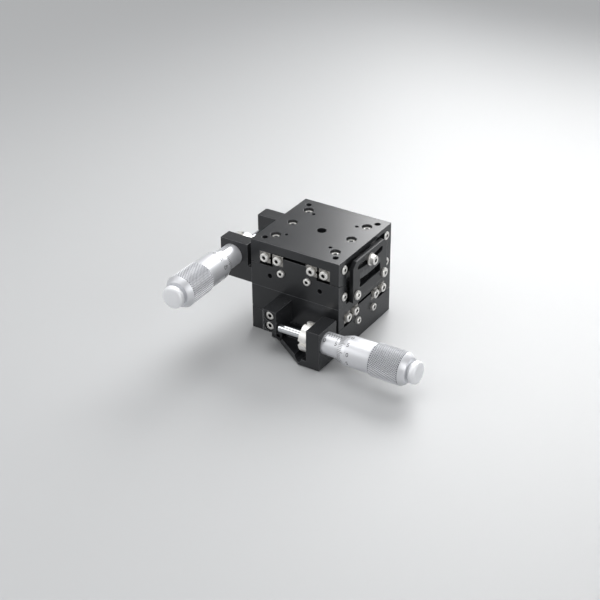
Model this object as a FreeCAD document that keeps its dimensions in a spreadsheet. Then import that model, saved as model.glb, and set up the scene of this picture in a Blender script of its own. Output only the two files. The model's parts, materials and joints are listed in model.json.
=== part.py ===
import FreeCAD, Part
import math
import os
import re

import Sketcher
from FreeCAD import Placement, Rotation, Vector

# Two-axis goniometer stage: two curved crossed-roller units of 20 mm height, one turned
# a quarter turn under the other, so that both tilt about one point above the top plate.
# Frame: millimetres, Z up, origin at the centre of the base's bottom face. The upper unit
# swings along Y and its micrometer stands off the -X side; the lower swings along X.

doc = FreeCAD.newDocument("goniometer_stage")
sheet = doc.addObject("Spreadsheet::Sheet", "sheet")

DRIVING_SIZES = {
    # blocks and arcs
    "block_width": 40.0,
    "unit_height": 20.0,
    "centre_height": 90.0,
    "split_gap": 0.25,
    "edge_chamfer": 0.4,
    "hump_half_width": 5.25,
    "hump_height": 15.0,
    "web_gap": 0.35,
    # curved rails, cages and rollers
    "rail_width": 4.9,
    "rail_height": 4.2,
    "rail_gap": 0.9,
    "rail_top_height": 15.9,
    "rail_floor_gap": 1.6,
    "rail_end_gap": 0.1,
    "roller_diameter": 1.5,
    "roller_play": 0.04,
    "roller_end_play": 0.1,
    "roller_sides": 8,
    "roller_count": 6,
    "roller_pitch": 3.8,
    "cage_thickness": 0.4,
    "cage_height": 3.0,
    "cage_length": 24.0,
    "cage_pocket": 2.3,
    "cage_play": 0.1,
    # screws of the rails
    "rail_screw_spacing": 12.0,
    "cap_head_diameter": 3.8,
    "cap_head_height": 2.0,
    "cap_bore_diameter": 4.3,
    "cap_bore_depth": 2.5,
    "cap_shank_diameter": 2.0,
    "cap_shank_length": 6.6,
    "foot_bore_depth": 3.0,
    "foot_shank_length": 7.4,
    "screw_play": 0.05,
    "bore_sides": 12,
    "head_sides": 6,
    "turned_sides": 24,
    "shank_sides": 6,
    "end_head_diameter": 3.6,
    "end_head_height": 1.2,
    "end_shank_length": 2.6,
    "stop_head_diameter": 3.0,
    "stop_offset": 6.0,
    "stop_drop": 1.5,
    "side_head_diameter": 3.5,
    "side_head_height": 0.6,
    "side_shank_length": 2.2,
    "side_screw_offset": 16.1,
    "side_screw_low": 4.2,
    "side_screw_high": 16.0,
    # holes of the top plate and the bottom face
    "corner_hole_offset": 16.0,
    "corner_hole_diameter": 2.5,
    "corner_hole_depth": 5.5,
    "small_hole_offset": 10.0,
    "small_hole_diameter": 1.6,
    "small_hole_depth": 4.0,
    "centre_bore_diameter": 4.0,
    "centre_bore_depth": 5.0,
    "face_hole_offset": 11.4,
    "face_hole_height": 5.8,
    "face_hole_diameter": 2.1,
    "face_hole_depth": 5.0,
    # screws that join the two units
    "join_offset_x": 14.0,
    "join_offset_y": 7.0,
    "join_head_diameter": 4.5,
    "join_head_height": 2.5,
    "join_head_play": 0.4,
    "join_drop": 1.6,
    "join_shank_diameter": 2.5,
    "join_thread_depth": 4.0,
    # return spring in the hump's slot
    "slot_half_width": 2.3,
    "slot_floor": 7.4,
    "slot_start": 12.0,
    "slot_end": 18.5,
    "spring_diameter": 3.0,
    "spring_wire": 0.8,
    "spring_coils": 7,
    "spring_sides": 8,
    "spring_height": 9.4,
    "pin_diameter": 1.6,
    "pin_distance": 9.5,
    "pin_embed": 2.0,
    "pin_reach": 1.2,
    # micrometer holder
    "holder_thickness": 5.8,
    "holder_reach": 14.4,
    "holder_height": 16.6,
    "holder_foot_gap": 0.3,
    "gusset_thickness": 2.6,
    "gusset_nose": 3.6,
    "gusset_heel": 1.5,
    "flange_thickness": 3.0,
    "flange_height": 5.9,
    "flange_end": 9.0,
    "holder_relief": 1.8,
    "relief_height": 7.0,
    "holder_screw_first": 4.6,
    "holder_screw_second": 9.8,
    "holder_screw_height": 3.2,
    "holder_shank_length": 4.0,
    # contact block
    "block_reach": 11.2,
    "contact_face": 1.5,
    "contact_width": 6.4,
    "contact_bottom": 8.4,
    "contact_top": 17.8,
    "contact_chamfer": 0.6,
    "contact_screw_low": 10.8,
    "contact_screw_high": 15.3,
    "contact_bore_depth": 2.6,
    "contact_tip_gap": 0.65,
    # micrometer head
    "axis_offset": 9.0,
    "axis_height": 10.4,
    "tip_gap": 0.06,
    "spindle_diameter": 3.5,
    "tip_dome": 0.5,
    "tip_flat": 0.2,
    "sleeve_diameter": 9.0,
    "sleeve_play": 0.05,
    "sleeve_end": 24.0,
    "sleeve_step": 5.0,
    "stem_length": 3.7,
    "nut_diameter": 11.8,
    "nut_thickness": 3.4,
    "nut_notch_width": 1.6,
    "nut_notch_depth": 1.2,
    "nut_notches": 4,
    "screw_diameter": 6.0,
    "core_play": 0.15,
    "screw_start": 15.8,
    "thimble_start": 7.4,
    "bevel_length": 3.4,
    "bevel_diameter": 9.9,
    "thimble_bore": 9.3,
    "thimble_diameter": 12.0,
    "knurl_start": 21.6,
    "knurl_diameter": 13.4,
    "knurl_end": 34.0,
    "thimble_back": 33.0,
    "thimble_end": 36.4,
    "end_diameter": 10.2,
    "ratchet_start": 36.5,
    "ratchet_end": 40.3,
    "ratchet_diameter": 9.0,
    "ratchet_neck": 6.4,
    "neck_length": 0.8,
    "ratchet_stub": 3.0,
    "stub_length": 2.6,
    # clamp plate and clamp screw
    "recess_depth": 2.0,
    "recess_half_width": 14.5,
    "recess_top": 18.2,
    "pad_half_width": 11.6,
    "pad_height": 4.5,
    "pad_reach": 0.6,
    "plate_thickness": 1.6,
    "plate_half_width": 13.0,
    "plate_bottom": 0.4,
    "plate_top": 17.6,
    "plate_corner": 2.4,
    "clamp_slot_height": 13.8,
    "clamp_slot_width": 2.3,
    "clamp_slot_reach": 8.4,
    "window_half_width": 7.9,
    "window_bottom": 4.9,
    "window_top": 8.2,
    "plate_screw_offset": 10.4,
    "plate_screw_height": 2.9,
    "plate_screw_head": 3.8,
    "plate_screw_head_height": 1.2,
    "plate_shank_length": 4.0,
    "washer_diameter": 5.0,
    "washer_thickness": 0.5,
    "clamp_head_diameter": 3.9,
    "clamp_head_height": 2.0,
    "clamp_tip_gap": 0.15,
}

for row, (alias, value) in enumerate(DRIVING_SIZES.items(), start=1):
    sheet.set(f"A{row}", alias)
    sheet.set(f"B{row}", str(value))
    sheet.setAlias(f"B{row}", alias)
doc.recompute()

WORD = re.compile(r"[a-z]+(?:_[a-z]+)+")


def bind(text):
    """An expression in which each driving size points at its cell."""
    return WORD.sub(lambda m: f"sheet.{m.group(0)}", str(text))


def size(alias):
    return float(sheet.get(alias))


def put(obj, x=0, y=0, z=0, turn=None):
    """Places an object by expressions, with an optional rotation (axis, degrees)."""
    if turn:
        obj.Placement = Placement(Vector(), Rotation(Vector(*turn[0]), turn[1]))
    for axis, text in zip("xyz", (x, y, z)):
        if str(text) != "0":
            obj.setExpression(f"Placement.Base.{axis}", bind(text))
    return obj


def box(name, length, width, height, x=0, y=0, z=0):
    obj = doc.addObject("Part::Box", name)
    obj.setExpression("Length", bind(length))
    obj.setExpression("Width", bind(width))
    obj.setExpression("Height", bind(height))
    return put(obj, x, y, z)


TURNS = {"X": ((0, 1, 0), 90), "Y": ((1, 0, 0), -90), "Z": None}


def rod(name, diameter, height, x=0, y=0, z=0, along="Z"):
    """A round bar that starts at x, y, z and runs along the positive axis."""
    obj = doc.addObject("Part::Cylinder", name)
    obj.setExpression("Radius", bind(f"({diameter}) / 2"))
    obj.setExpression("Height", bind(height))
    return put(obj, x, y, z, TURNS[along])


def prism(name, sides, diameter, height, x=0, y=0, z=0, along="Z"):
    """A regular prism across its corners, for small round pieces that repeat."""
    obj = doc.addObject("Part::Prism", name)
    obj.setExpression("Polygon", bind(sides))
    obj.setExpression("Circumradius", bind(f"({diameter}) / 2"))
    obj.setExpression("Height", bind(height))
    return put(obj, x, y, z, TURNS[along])


def way(name, height, x=0, y=0, z=0, along="Z"):
    """The hole of a small screw's shank."""
    diameter = "cap_shank_diameter + 2 * screw_play"
    return prism(name, "shank_sides", diameter, height, x, y, z, along)


def clamp_way(name, height, x=0, y=0, z=0, along="Z"):
    """The hole of a clamp screw's shank, wide enough for its corners to turn in."""
    return bore(name, "cap_shank_diameter + 2 * screw_play", height, x, y, z, along)


def bore(name, diameter, height, x=0, y=0, z=0, along="Z"):
    """A hidden bore, or the hidden round part of a piece."""
    return prism(name, "bore_sides", diameter, height, x, y, z, along)


def bar(sides, diameter, length, start, axis):
    """The shape of a prism that starts at a point and runs along the positive axis."""
    turns = [2 * math.pi * i / int(size(sides)) for i in range(int(size(sides)))]
    radius = number(diameter) / 2
    corners = [Vector(radius * math.cos(a), radius * math.sin(a), 0) for a in turns]
    solid = Part.Face(Part.makePolygon(corners + corners[:1])).extrude(Vector(0, 0, length))
    turn = TURNS[axis]
    rotation = Rotation(Vector(*turn[0]), turn[1]) if turn else Rotation()
    solid.Placement = Placement(Vector(*start), rotation)
    return solid


def faceted(points, sides):
    """A turned shape of flat faces about X, capped at both ends: pairs of reach and radius."""
    turns = [2 * math.pi * i / sides for i in range(sides)]
    rings = []
    for reach, radius in points:
        ring = [Vector(reach, radius * math.cos(a), radius * math.sin(a)) for a in turns]
        rings.append(Part.makePolygon(ring + ring[:1]))
    walls = [Part.Face(rings[0]), Part.Face(rings[-1])]
    for low, high in zip(rings, rings[1:]):
        for first, second in zip(low.Edges, high.Edges):
            corners = [v.Point for v in first.Vertexes] + [v.Point for v in reversed(second.Vertexes)]
            walls.append(Part.Face(Part.makePolygon(corners + corners[:1])))
    solid = Part.Solid(Part.makeShell(walls))
    if solid.Volume < 0:
        solid.reverse()
    return solid


def flat_part(name, sides, points):
    """A turned part of flat faces, from pairs of expressions."""
    obj = doc.addObject("Part::Feature", name)
    obj.Shape = faceted([(number(reach), number(radius)) for reach, radius in points], sides)
    return obj


def cut(name, base, *tools):
    obj = doc.addObject("Part::Cut", name)
    obj.Base = base
    obj.Tool = tools[0] if len(tools) == 1 else fuse(name + "_tools", *tools)
    return obj


def fuse(name, *parts):
    obj = doc.addObject("Part::MultiFuse", name)
    obj.Shapes = list(parts)
    return obj


def common(name, *parts):
    obj = doc.addObject("Part::MultiCommon", name)
    obj.Shapes = list(parts)
    return obj


def group(name, *parts):
    """Separate solids that share one node."""
    obj = doc.addObject("Part::Compound", name)
    obj.Links = list(parts)
    return obj


def outline(owner, name, plane, points):
    """A closed sketch through points given as pairs of expressions."""
    sketch = owner.newObject("Sketcher::SketchObject", name)
    side = next(f for f in owner.Origin.OriginFeatures if f.Role == plane)
    sketch.AttachmentSupport = (side, "")
    sketch.MapMode = "FlatFace"
    spots = [Vector(*[number(text) for text in pair], 0) for pair in points]
    last = len(spots) - 1
    for i, spot in enumerate(spots):
        after = spots[0] if i == last else spots[i + 1]
        sketch.addGeometry(Part.LineSegment(spot, after), False)
    for i in range(len(spots)):
        after = 0 if i == last else i + 1
        sketch.addConstraint(Sketcher.Constraint("Coincident", i, 2, after, 1))
    for i, pair in enumerate(points):
        for kind, axis, text in zip(("DistanceX", "DistanceY"), (-2, -1), pair):
            if number(text) == 0:
                sketch.addConstraint(Sketcher.Constraint("PointOnObject", i, 1, axis))
                continue
            at = Sketcher.Constraint(kind, -1, 1, i, 1, number(text))
            index = sketch.addConstraint(at)
            sketch.setExpression(f"Constraints[{index}]", bind(text))
    return sketch


def number(text):
    """The present value of an expression of driving sizes."""
    names = {m.group(0): size(m.group(0)) for m in WORD.finditer(str(text))}
    ready = WORD.sub(lambda m: repr(names[m.group(0)]), str(text))
    return float(FreeCAD.Units.Quantity(ready).Value)


def turned(body, name, points):
    """Revolves a profile about the body's X axis and returns the feature."""
    sketch = outline(body, name + "_profile", "XY_Plane", points)
    turn = body.newObject("PartDesign::Revolution", name)
    turn.Profile = sketch
    turn.ReferenceAxis = (sketch, ["H_Axis"])
    turn.Angle = 360
    return turn


def new_body(name):
    return doc.addObject("PartDesign::Body", name)


class Unit:
    """One curved-rail unit in its own frame, with travel along Y and Z from its bottom."""

    def __init__(self, name, turn, lift, centre):
        self.name = name
        self.turn = turn
        self.lift = lift
        self.centre = centre

    def radius(self, height):
        """Distance from the tilt axis to a point at this height on the block's end face."""
        return f"sqrt((block_width / 2)^2 + ({self.centre} - {height})^2)"

    def drum(self, name, radius):
        """A cylinder about the tilt axis, through the whole block."""
        return rod(
            f"{self.name}_{name}",
            f"2 * ({radius})",
            "block_width * 2",
            "-block_width",
            0,
            self.centre,
            "X",
        )

    def seat(self, obj, node):
        """Puts a finished sub-part in place and names its file."""
        obj.Label = f"{self.name}_{node}"
        rotation = Rotation(Vector(0, 0, 1), self.turn)
        obj.Placement = Placement(Vector(0, 0, number(self.lift)), rotation)
        if self.lift != "0 * unit_height":
            obj.setExpression("Placement.Base.z", bind(self.lift))
        nodes.append(obj)
        return obj

    def tag(self, name):
        return f"{self.name}_{name}"


nodes = []
upper = Unit("upper", 0, "unit_height", "(centre_height - unit_height)")
lower = Unit("lower", 90, "0 * unit_height", "centre_height")
HALF = "block_width / 2"
GAP_MIDDLE = "(hump_half_width + rail_width + rail_gap / 2)"
INNER_RAIL = "(hump_half_width + rail_width / 2)"
OUTER_RAIL = "(hump_half_width + rail_width * 1.5 + rail_gap)"
OUTER_EDGE = "(hump_half_width + rail_width * 2 + rail_gap)"
SPLIT_HEIGHT = "(rail_top_height - rail_height - rail_floor_gap)"
STOP_HEIGHT = f"({SPLIT_HEIGHT} - stop_drop)"
JOIN_SEAT = "(unit_height - rail_top_height - join_drop)"
CONTACT_SHANK = f"({HALF} + block_reach - contact_bore_depth - {OUTER_EDGE} - contact_tip_gap)"
CLAMP_THREAD = f"({HALF} - {OUTER_EDGE} - clamp_tip_gap)"
SIGNS = ((-1, "a"), (1, "b"))
INNER_STEPS = (-1, 1)
OUTER_STEPS = (-1, 0, 1)


def strip(name, half, height, base=0):
    """A full-length box along Y that reaches the same distance each side of the middle."""
    return box(name, f"2 * {half}", "block_width", height, f"-{half}", f"-{HALF}", base)


def screw_rows(unit, name, across, steps, make):
    """Calls make for the places of the screws along Y in each of two rows."""
    rows = []
    for sign, side in SIGNS:
        for step in steps:
            label = f"{name}_{side}{step + 1}"
            place = (f"{sign} * {across}", f"{step} * rail_screw_spacing")
            rows.append(make(unit.tag(label), *place))
    return rows


def corner_rods(unit, make, name, diameter, depth, across, along, start):
    return [
        make(unit.tag(f"{name}_{i}"), diameter, depth, f"{sx} * {across}", f"{sy} * {along}", start)
        for i, (sx, sy) in enumerate(((-1, -1), (-1, 1), (1, -1), (1, 1)))
    ]


def base_block(unit, holes):
    """Base: a block cut on the split arc, with ledges and a hump between the inner rails."""
    floor = cut(
        unit.tag("base_floor"),
        strip(unit.tag("base_block"), HALF, "unit_height"),
        unit.drum("split_drum", unit.radius(SPLIT_HEIGHT)),
    )
    ledge = cut(
        unit.tag("base_ledge"),
        strip(unit.tag("ledge_block"), "(hump_half_width + rail_width - rail_gap / 3)", "unit_height"),
        unit.drum("ledge_drum", f"{unit.radius('rail_top_height')} + rail_height"),
    )
    hump = cut(
        unit.tag("base_hump"),
        strip(unit.tag("hump_block"), "hump_half_width", "unit_height"),
        unit.drum("hump_drum", unit.radius("hump_height")),
    )
    pad = box(
        unit.tag("plate_pad"),
        "recess_depth + pad_reach",
        "2 * pad_half_width",
        "pad_height - plate_bottom",
        f"{HALF} - recess_depth",
        "-pad_half_width",
        "plate_bottom",
    )
    recess = box(
        unit.tag("base_recess"),
        "recess_depth",
        "2 * recess_half_width",
        "unit_height",
        f"{HALF} - recess_depth",
        "-recess_half_width",
    )
    slot = box(
        unit.tag("spring_slot"),
        "2 * slot_half_width",
        "slot_start + slot_end",
        "unit_height",
        "-slot_half_width",
        "-slot_start",
        "slot_floor",
    )
    body = cut(unit.tag("base_body"), fuse(unit.tag("base_steps"), floor, ledge, hump), recess)
    holes = list(holes) + [slot]
    holes += screw_rows(
        unit,
        "foot_bore",
        INNER_RAIL,
        INNER_STEPS,
        lambda n, x, y: bore(n, "cap_bore_diameter", "foot_bore_depth", x, y),
    )
    holes += screw_rows(
        unit,
        "foot_way",
        INNER_RAIL,
        INNER_STEPS,
        lambda n, x, y: way(n, "unit_height", x, y),
    )
    for sign, side in SIGNS:
        for end, mark in SIGNS:
            depth = f"{HALF} - end_shank_length" if end > 0 else f"-{HALF}"
            spot = f"{sign} * stop_offset"
            name = unit.tag(f"stop_way_{side}{mark}")
            holes.append(way(name, "end_shank_length", spot, depth, STOP_HEIGHT, "Y"))
    holes += side_screw_ways(unit, "base_side", "side_screw_low")
    for sign, side in SIGNS:
        name = unit.tag(f"plate_way_{side}")
        start = f"{HALF} + pad_reach - plate_shank_length + plate_thickness"
        spot = f"{sign} * plate_screw_offset"
        holes.append(way(name, "plate_shank_length", start, spot, "plate_screw_height", "X"))
    holes.append(pin(unit, "pin_way", "pin_embed", "-pin_distance", "slot_floor - pin_embed"))
    for x, mark in (("holder_screw_first", "a"), ("-holder_screw_second", "b")):
        name = unit.tag(f"holder_way_{mark}")
        holes.append(way(name, "holder_shank_length", f"-{HALF}", x, "holder_screw_height", "X"))
    return unit.seat(cut(unit.tag("base_cut"), fuse(unit.tag("base_pads"), body, pad), *holes), "base")


def side_screw_ways(unit, name, height):
    """Blind screw holes in the clamp side, near its two ends."""
    return [
        way(
            unit.tag(f"{name}_{side}"),
            "side_shank_length",
            f"{HALF} - side_shank_length",
            f"{sign} * side_screw_offset",
            height,
            "X",
        )
        for sign, side in SIGNS
    ]


def stage_block(unit, node, holes):
    """Stage: a plate with two side walls that reach down over the base on the split arc."""
    shell = common(
        unit.tag("stage_shell"),
        strip(unit.tag("stage_box"), HALF, "unit_height"),
        unit.drum("wall_drum", f"{unit.radius(SPLIT_HEIGHT)} - split_gap"),
    )
    channel = cut(
        unit.tag("rail_channel"),
        strip(unit.tag("channel_box"), OUTER_EDGE, "unit_height"),
        unit.drum("rail_drum", unit.radius("rail_top_height")),
    )
    relief = cut(
        unit.tag("web_relief"),
        strip(unit.tag("relief_box"), GAP_MIDDLE, "unit_height"),
        unit.drum("web_drum", f"{unit.radius('rail_top_height')} - web_gap"),
    )
    recess = box(
        unit.tag("stage_recess"),
        "recess_depth",
        "2 * recess_half_width",
        "recess_top",
        f"{HALF} - recess_depth",
        "-recess_half_width",
    )
    holes = list(holes)
    holes += screw_rows(
        unit,
        "cap_bore",
        OUTER_RAIL,
        OUTER_STEPS,
        lambda n, x, y: bore(
            n, "cap_bore_diameter", "cap_bore_depth", x, y, "unit_height - cap_bore_depth"
        ),
    )
    holes += screw_rows(
        unit,
        "cap_way",
        OUTER_RAIL,
        OUTER_STEPS,
        lambda n, x, y: way(n, "unit_height", x, y),
    )
    holes += side_screw_ways(unit, "stage_side", "side_screw_high")
    for height, mark in (("contact_screw_low", "a"), ("contact_screw_high", "b")):
        holes.append(
            way(
                unit.tag(f"contact_way_{mark}"),
                f"{CONTACT_SHANK} + contact_bore_depth",
                f"-{HALF} - block_reach",
                "contact_face + contact_width / 2",
                height,
                "X",
            )
        )
    start = f"{HALF} - {CLAMP_THREAD}"
    holes.append(
        clamp_way(unit.tag("clamp_way"), CLAMP_THREAD, start, 0, "clamp_slot_height", "X")
    )
    web = f"{unit.centre} - {unit.radius('rail_top_height')} + web_gap"
    holes.append(pin(unit, "stage_pin_way", "pin_embed", "pin_distance", web))
    return unit.seat(cut(unit.tag("stage_cut"), shell, channel, relief, recess, *holes), node)


def rail_pair(unit, node, middle, groove_side, ways):
    """Two curved rails: a grooved section turned about the tilt axis, then cut off square."""
    rails = []
    top = unit.radius("rail_top_height")
    reach = "(roller_diameter * sqrt(2) - rail_gap) / 2"
    half = "rail_width / 2"
    middle_radius = f"({top} + rail_height / 2)"
    for sign, side in SIGNS:
        block = cut(
            unit.tag(f"{node}_arc_{side}"),
            unit.drum(f"{node}_outer_{side}", f"{top} + rail_height"),
            unit.drum(f"{node}_inner_{side}", top),
        )
        band = box(
            unit.tag(f"{node}_band_{side}"),
            "rail_width",
            "block_width - 2 * rail_end_gap",
            "unit_height",
            f"{sign} * {middle} - {half}",
            f"-{HALF} + rail_end_gap",
        )
        face = f"{sign} * ({middle} + {groove_side} * {half})"
        inward = -sign * groove_side
        groove = doc.addObject("Part::Cone", unit.tag(f"{node}_wide_{side}"))
        groove.setExpression("Radius1", bind(f"{middle_radius} + {reach}"))
        groove.setExpression("Radius2", bind(middle_radius))
        groove.setExpression("Height", bind(reach))
        cone_turn = ((0, 1, 0), 90 * inward)
        put(groove, face, 0, unit.centre, cone_turn)
        core = doc.addObject("Part::Cone", unit.tag(f"{node}_core_{side}"))
        core.setExpression("Radius1", bind(f"{middle_radius} - {reach}"))
        core.setExpression("Radius2", bind(middle_radius))
        core.setExpression("Height", bind(reach))
        put(core, face, 0, unit.centre, cone_turn)
        notch = cut(unit.tag(f"{node}_groove_{side}"), groove, core)
        blank = common(unit.tag(f"{node}_blank_{side}"), block, band)
        rails.append(cut(unit.tag(f"{node}_cut_{side}"), blank, notch, *ways(sign, side)))
    return unit.seat(group(unit.tag(f"{node}_pair"), *rails), node)


def rail_ways(unit, node, middle):
    """Threaded holes of one rail: three along its length and one in each end."""

    def make(sign, side):
        holes = []
        if node == "outer_rails":
            start, length = "unit_height - cap_bore_depth - cap_shank_length", "unit_height"
            steps = OUTER_STEPS
        else:
            start, length = "0 * unit_height", "foot_bore_depth + foot_shank_length"
            steps = INNER_STEPS
        for step in steps:
            name = unit.tag(f"{node}_way_{side}{step + 1}")
            place = (f"{sign} * {middle}", f"{step} * rail_screw_spacing")
            holes.append(way(name, length, *place, start))
        for end, mark in SIGNS:
            name = unit.tag(f"{node}_end_{side}{mark}")
            start = f"{HALF} - end_shank_length" if end > 0 else f"-{HALF}"
            spot = f"{sign} * {middle}"
            holes.append(way(name, "end_shank_length", spot, start, end_height(unit), "Y"))
        return holes

    return make


def end_height(unit):
    """Height of the middle of a rail's section at the block's end face."""
    middle = f"({unit.radius('rail_top_height')} + rail_height / 2)"
    return f"{unit.centre} - sqrt({middle}^2 - (block_width / 2)^2)"


def screw(seat, out, head, head_height, shank, shank_length):
    """A plain screw from the seat of its head and the direction in which the head looks."""
    axis = "XYZ"[[abs(part) for part in out].index(1)]
    tall, deep = number(head_height), number(shank_length)
    seat, out = Vector(*seat), Vector(*out)
    forward = out.x + out.y + out.z > 0
    top = bar("head_sides", head, tall, seat if forward else seat + out * tall, axis)
    body = bar("shank_sides", shank, deep, seat - out * deep if forward else seat, axis)
    return top.fuse(body)


def cap_screws(unit, node, spots, head, head_height, shank_length):
    """Screws of one size: spots are pairs of a seat point and the direction of the head."""
    solids = [screw(*spot, head, head_height, "cap_shank_diameter", shank_length) for spot in spots]
    obj = doc.addObject("Part::Feature", unit.tag(node + "_shape"))
    obj.Shape = Part.makeCompound(solids)
    return unit.seat(obj, node)


def cages(unit):
    """Two roller cages, thin curved strips with a row of holes, and their crossed rollers."""
    radius = unit_radius(unit)
    centre = Vector(0, 0, number(unit.centre))
    middle = number(GAP_MIDDLE)
    spread = math.degrees(size("roller_pitch") / radius)
    count = int(size("roller_count"))
    strips = []
    rollers = []
    for sign, side in SIGNS:
        face = Vector(sign * middle - size("cage_thickness") / 2, 0, 0) + centre
        height = size("cage_height")
        outer = Part.makeCylinder(radius + height / 2, size("cage_thickness"), face, Vector(1, 0, 0))
        inner = Part.makeCylinder(radius - height / 2, size("cage_thickness"), face, Vector(1, 0, 0))
        ring = outer.cut(inner)
        width = size("cage_length")
        slab = Part.makeBox(
            size("block_width"), width, size("unit_height"), Vector(face.x - width / 2, -width / 2, 0)
        )
        strip_shape = ring.common(slab)
        for i in range(count):
            angle = (i - (count - 1) / 2) * spread
            lean = Rotation(Vector(1, 0, 0), angle)
            spot = centre + lean.multVec(Vector(0, 0, -radius)) + Vector(sign * middle, 0, 0)
            wide = size("roller_diameter") + 2 * size("cage_play")
            tall = size("cage_pocket")
            pocket = Part.makeBox(tall, wide, tall, Vector(-tall / 2, -wide / 2, -tall / 2))
            pocket.Placement = Placement(spot, lean)
            strip_shape = strip_shape.cut(pocket)
            cross = 45 if i % 2 else -45
            axis = lean.multVec(Rotation(Vector(0, 1, 0), cross).multVec(Vector(0, 0, 1)))
            length = size("roller_diameter") - size("roller_end_play")
            across = size("roller_diameter") - size("roller_play")
            roller = bar("roller_sides", across, length, (0, 0, -length / 2), "Z")
            roller.Placement = Placement(spot, Rotation(Vector(0, 0, 1), axis)) * roller.Placement
            rollers.append(roller)
        strips.append(strip_shape)
    cage = doc.addObject("Part::Feature", unit.tag("cage_shape"))
    cage.Shape = Part.makeCompound(strips)
    unit.seat(cage, "roller_cages")
    roller = doc.addObject("Part::Feature", unit.tag("roller_shape"))
    roller.Shape = Part.makeCompound(rollers)
    unit.seat(roller, "crossed_rollers")


def unit_radius(unit):
    """Radius of the ring of rollers about the tilt axis."""
    rise = number(unit.centre) - size("rail_top_height")
    return math.hypot(size("block_width") / 2, rise) + size("rail_height") / 2


def spring_and_pins(unit):
    """Tension spring in the hump's slot between a pin of the base and a pin of the stage."""
    tall = "pin_embed + spring_height - slot_floor + pin_reach"
    base_pin = pin(unit, "base_pin", tall, "-pin_distance", "slot_floor - pin_embed")
    unit.seat(group(unit.tag("base_pin_one"), base_pin), "spring_pin_base")
    web = f"{unit.centre} - {unit.radius('rail_top_height')} + web_gap"
    tall = f"{web} + pin_embed - spring_height + pin_reach"
    stage_pin = pin(unit, "stage_pin", tall, "pin_distance", "spring_height - pin_reach")
    unit.seat(group(unit.tag("stage_pin_one"), stage_pin), "spring_pin_stage")
    coils = int(size("spring_coils"))
    wire = size("spring_wire")
    half = size("pin_distance") - size("pin_diameter") / 2 - size("screw_play")
    crest = size("spring_diameter") / 2
    start = -coils * wire / 2
    steps = [(-half, wire / 2), (start, wire / 2), (start + wire / 4, crest - wire / 2)]
    for i in range(coils):
        steps.append((start + (i + 0.5) * wire, crest))
        steps.append((start + (i + 1) * wire, crest - wire / 2))
    steps[-1] = (-start - wire / 4, crest - wire / 2)
    steps += [(-start, wire / 2), (half, wire / 2)]
    solid = faceted(steps, int(size("spring_sides")))
    solid.Placement = Placement(Vector(0, 0, size("spring_height")), Rotation(Vector(0, 0, 1), 90))
    obj = doc.addObject("Part::Feature", unit.tag("spring_shape"))
    obj.Shape = Part.makeCompound([solid])
    unit.seat(obj, "return_spring")


def pin(unit, name, height, along, base):
    """A spring pin, or its hole, that stands on the middle line."""
    return prism(unit.tag(name), "roller_sides", "pin_diameter", height, 0, along, base)


def holder(unit):
    """Micrometer holder: a wall off the block's side, a foot flange and a gusset plate."""
    body = new_body(unit.tag("holder_body"))
    out = f"-{HALF} - holder_reach"
    wall = f"-{HALF} + holder_thickness"
    heel = f"-{HALF} - gusset_heel"
    gusset = pad_up(
        body,
        "gusset",
        [
            (f"-{HALF}", f"-{HALF}"),
            (f"-{HALF}", "flange_end"),
            (heel, "flange_end"),
            (out, f"{wall} + gusset_nose"),
            (out, f"-{HALF}"),
        ],
        "gusset_thickness",
    )
    pad_up(
        body,
        "wall",
        [(f"-{HALF}", f"-{HALF}"), (f"-{HALF}", wall), (out, wall), (out, f"-{HALF}")],
        "holder_height - holder_foot_gap",
    )
    pad_up(
        body,
        "flange",
        [
            (f"-{HALF}", f"-{HALF}"),
            (f"-{HALF}", "flange_end"),
            (f"-{HALF} - flange_thickness", "flange_end"),
            (f"-{HALF} - flange_thickness", f"-{HALF}"),
        ],
        "flange_height - holder_foot_gap",
    )
    relief = box(
        unit.tag("holder_relief"),
        "holder_relief",
        "2 * holder_thickness",
        "unit_height",
        f"-{HALF} - holder_relief",
        f"-{HALF} - holder_thickness / 2",
        "relief_height",
    )
    stem = rod(
        unit.tag("holder_bore"),
        "sleeve_diameter",
        "3 * holder_thickness",
        f"-{HALF} - axis_offset",
        f"-{HALF} - holder_thickness",
        "axis_height",
        "Y",
    )
    ways = []
    for y, mark in (("holder_screw_first", "a"), ("-holder_screw_second", "b")):
        start = f"-{HALF} - 2 * flange_thickness"
        name = unit.tag(f"flange_way_{mark}")
        ways.append(way(name, "2 * flange_thickness", start, y, "holder_screw_height", "X"))
        start = f"-{HALF} - flange_thickness - holder_reach"
        name = unit.tag(f"driver_way_{mark}")
        ways.append(
            bore(name, "cap_bore_diameter", "holder_reach", start, y, "holder_screw_height", "X")
        )
    body.setExpression("Placement.Base.z", bind("holder_foot_gap"))
    return unit.seat(cut(unit.tag("holder_cut"), body, relief, stem, *ways), "micrometer_holder")


def pad_up(body, name, points, height):
    sketch = outline(body, name, "XY_Plane", points)
    pad = body.newObject("PartDesign::Pad", name + "_pad")
    pad.Profile = sketch
    pad.setExpression("Length", bind(height))
    return pad


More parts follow.
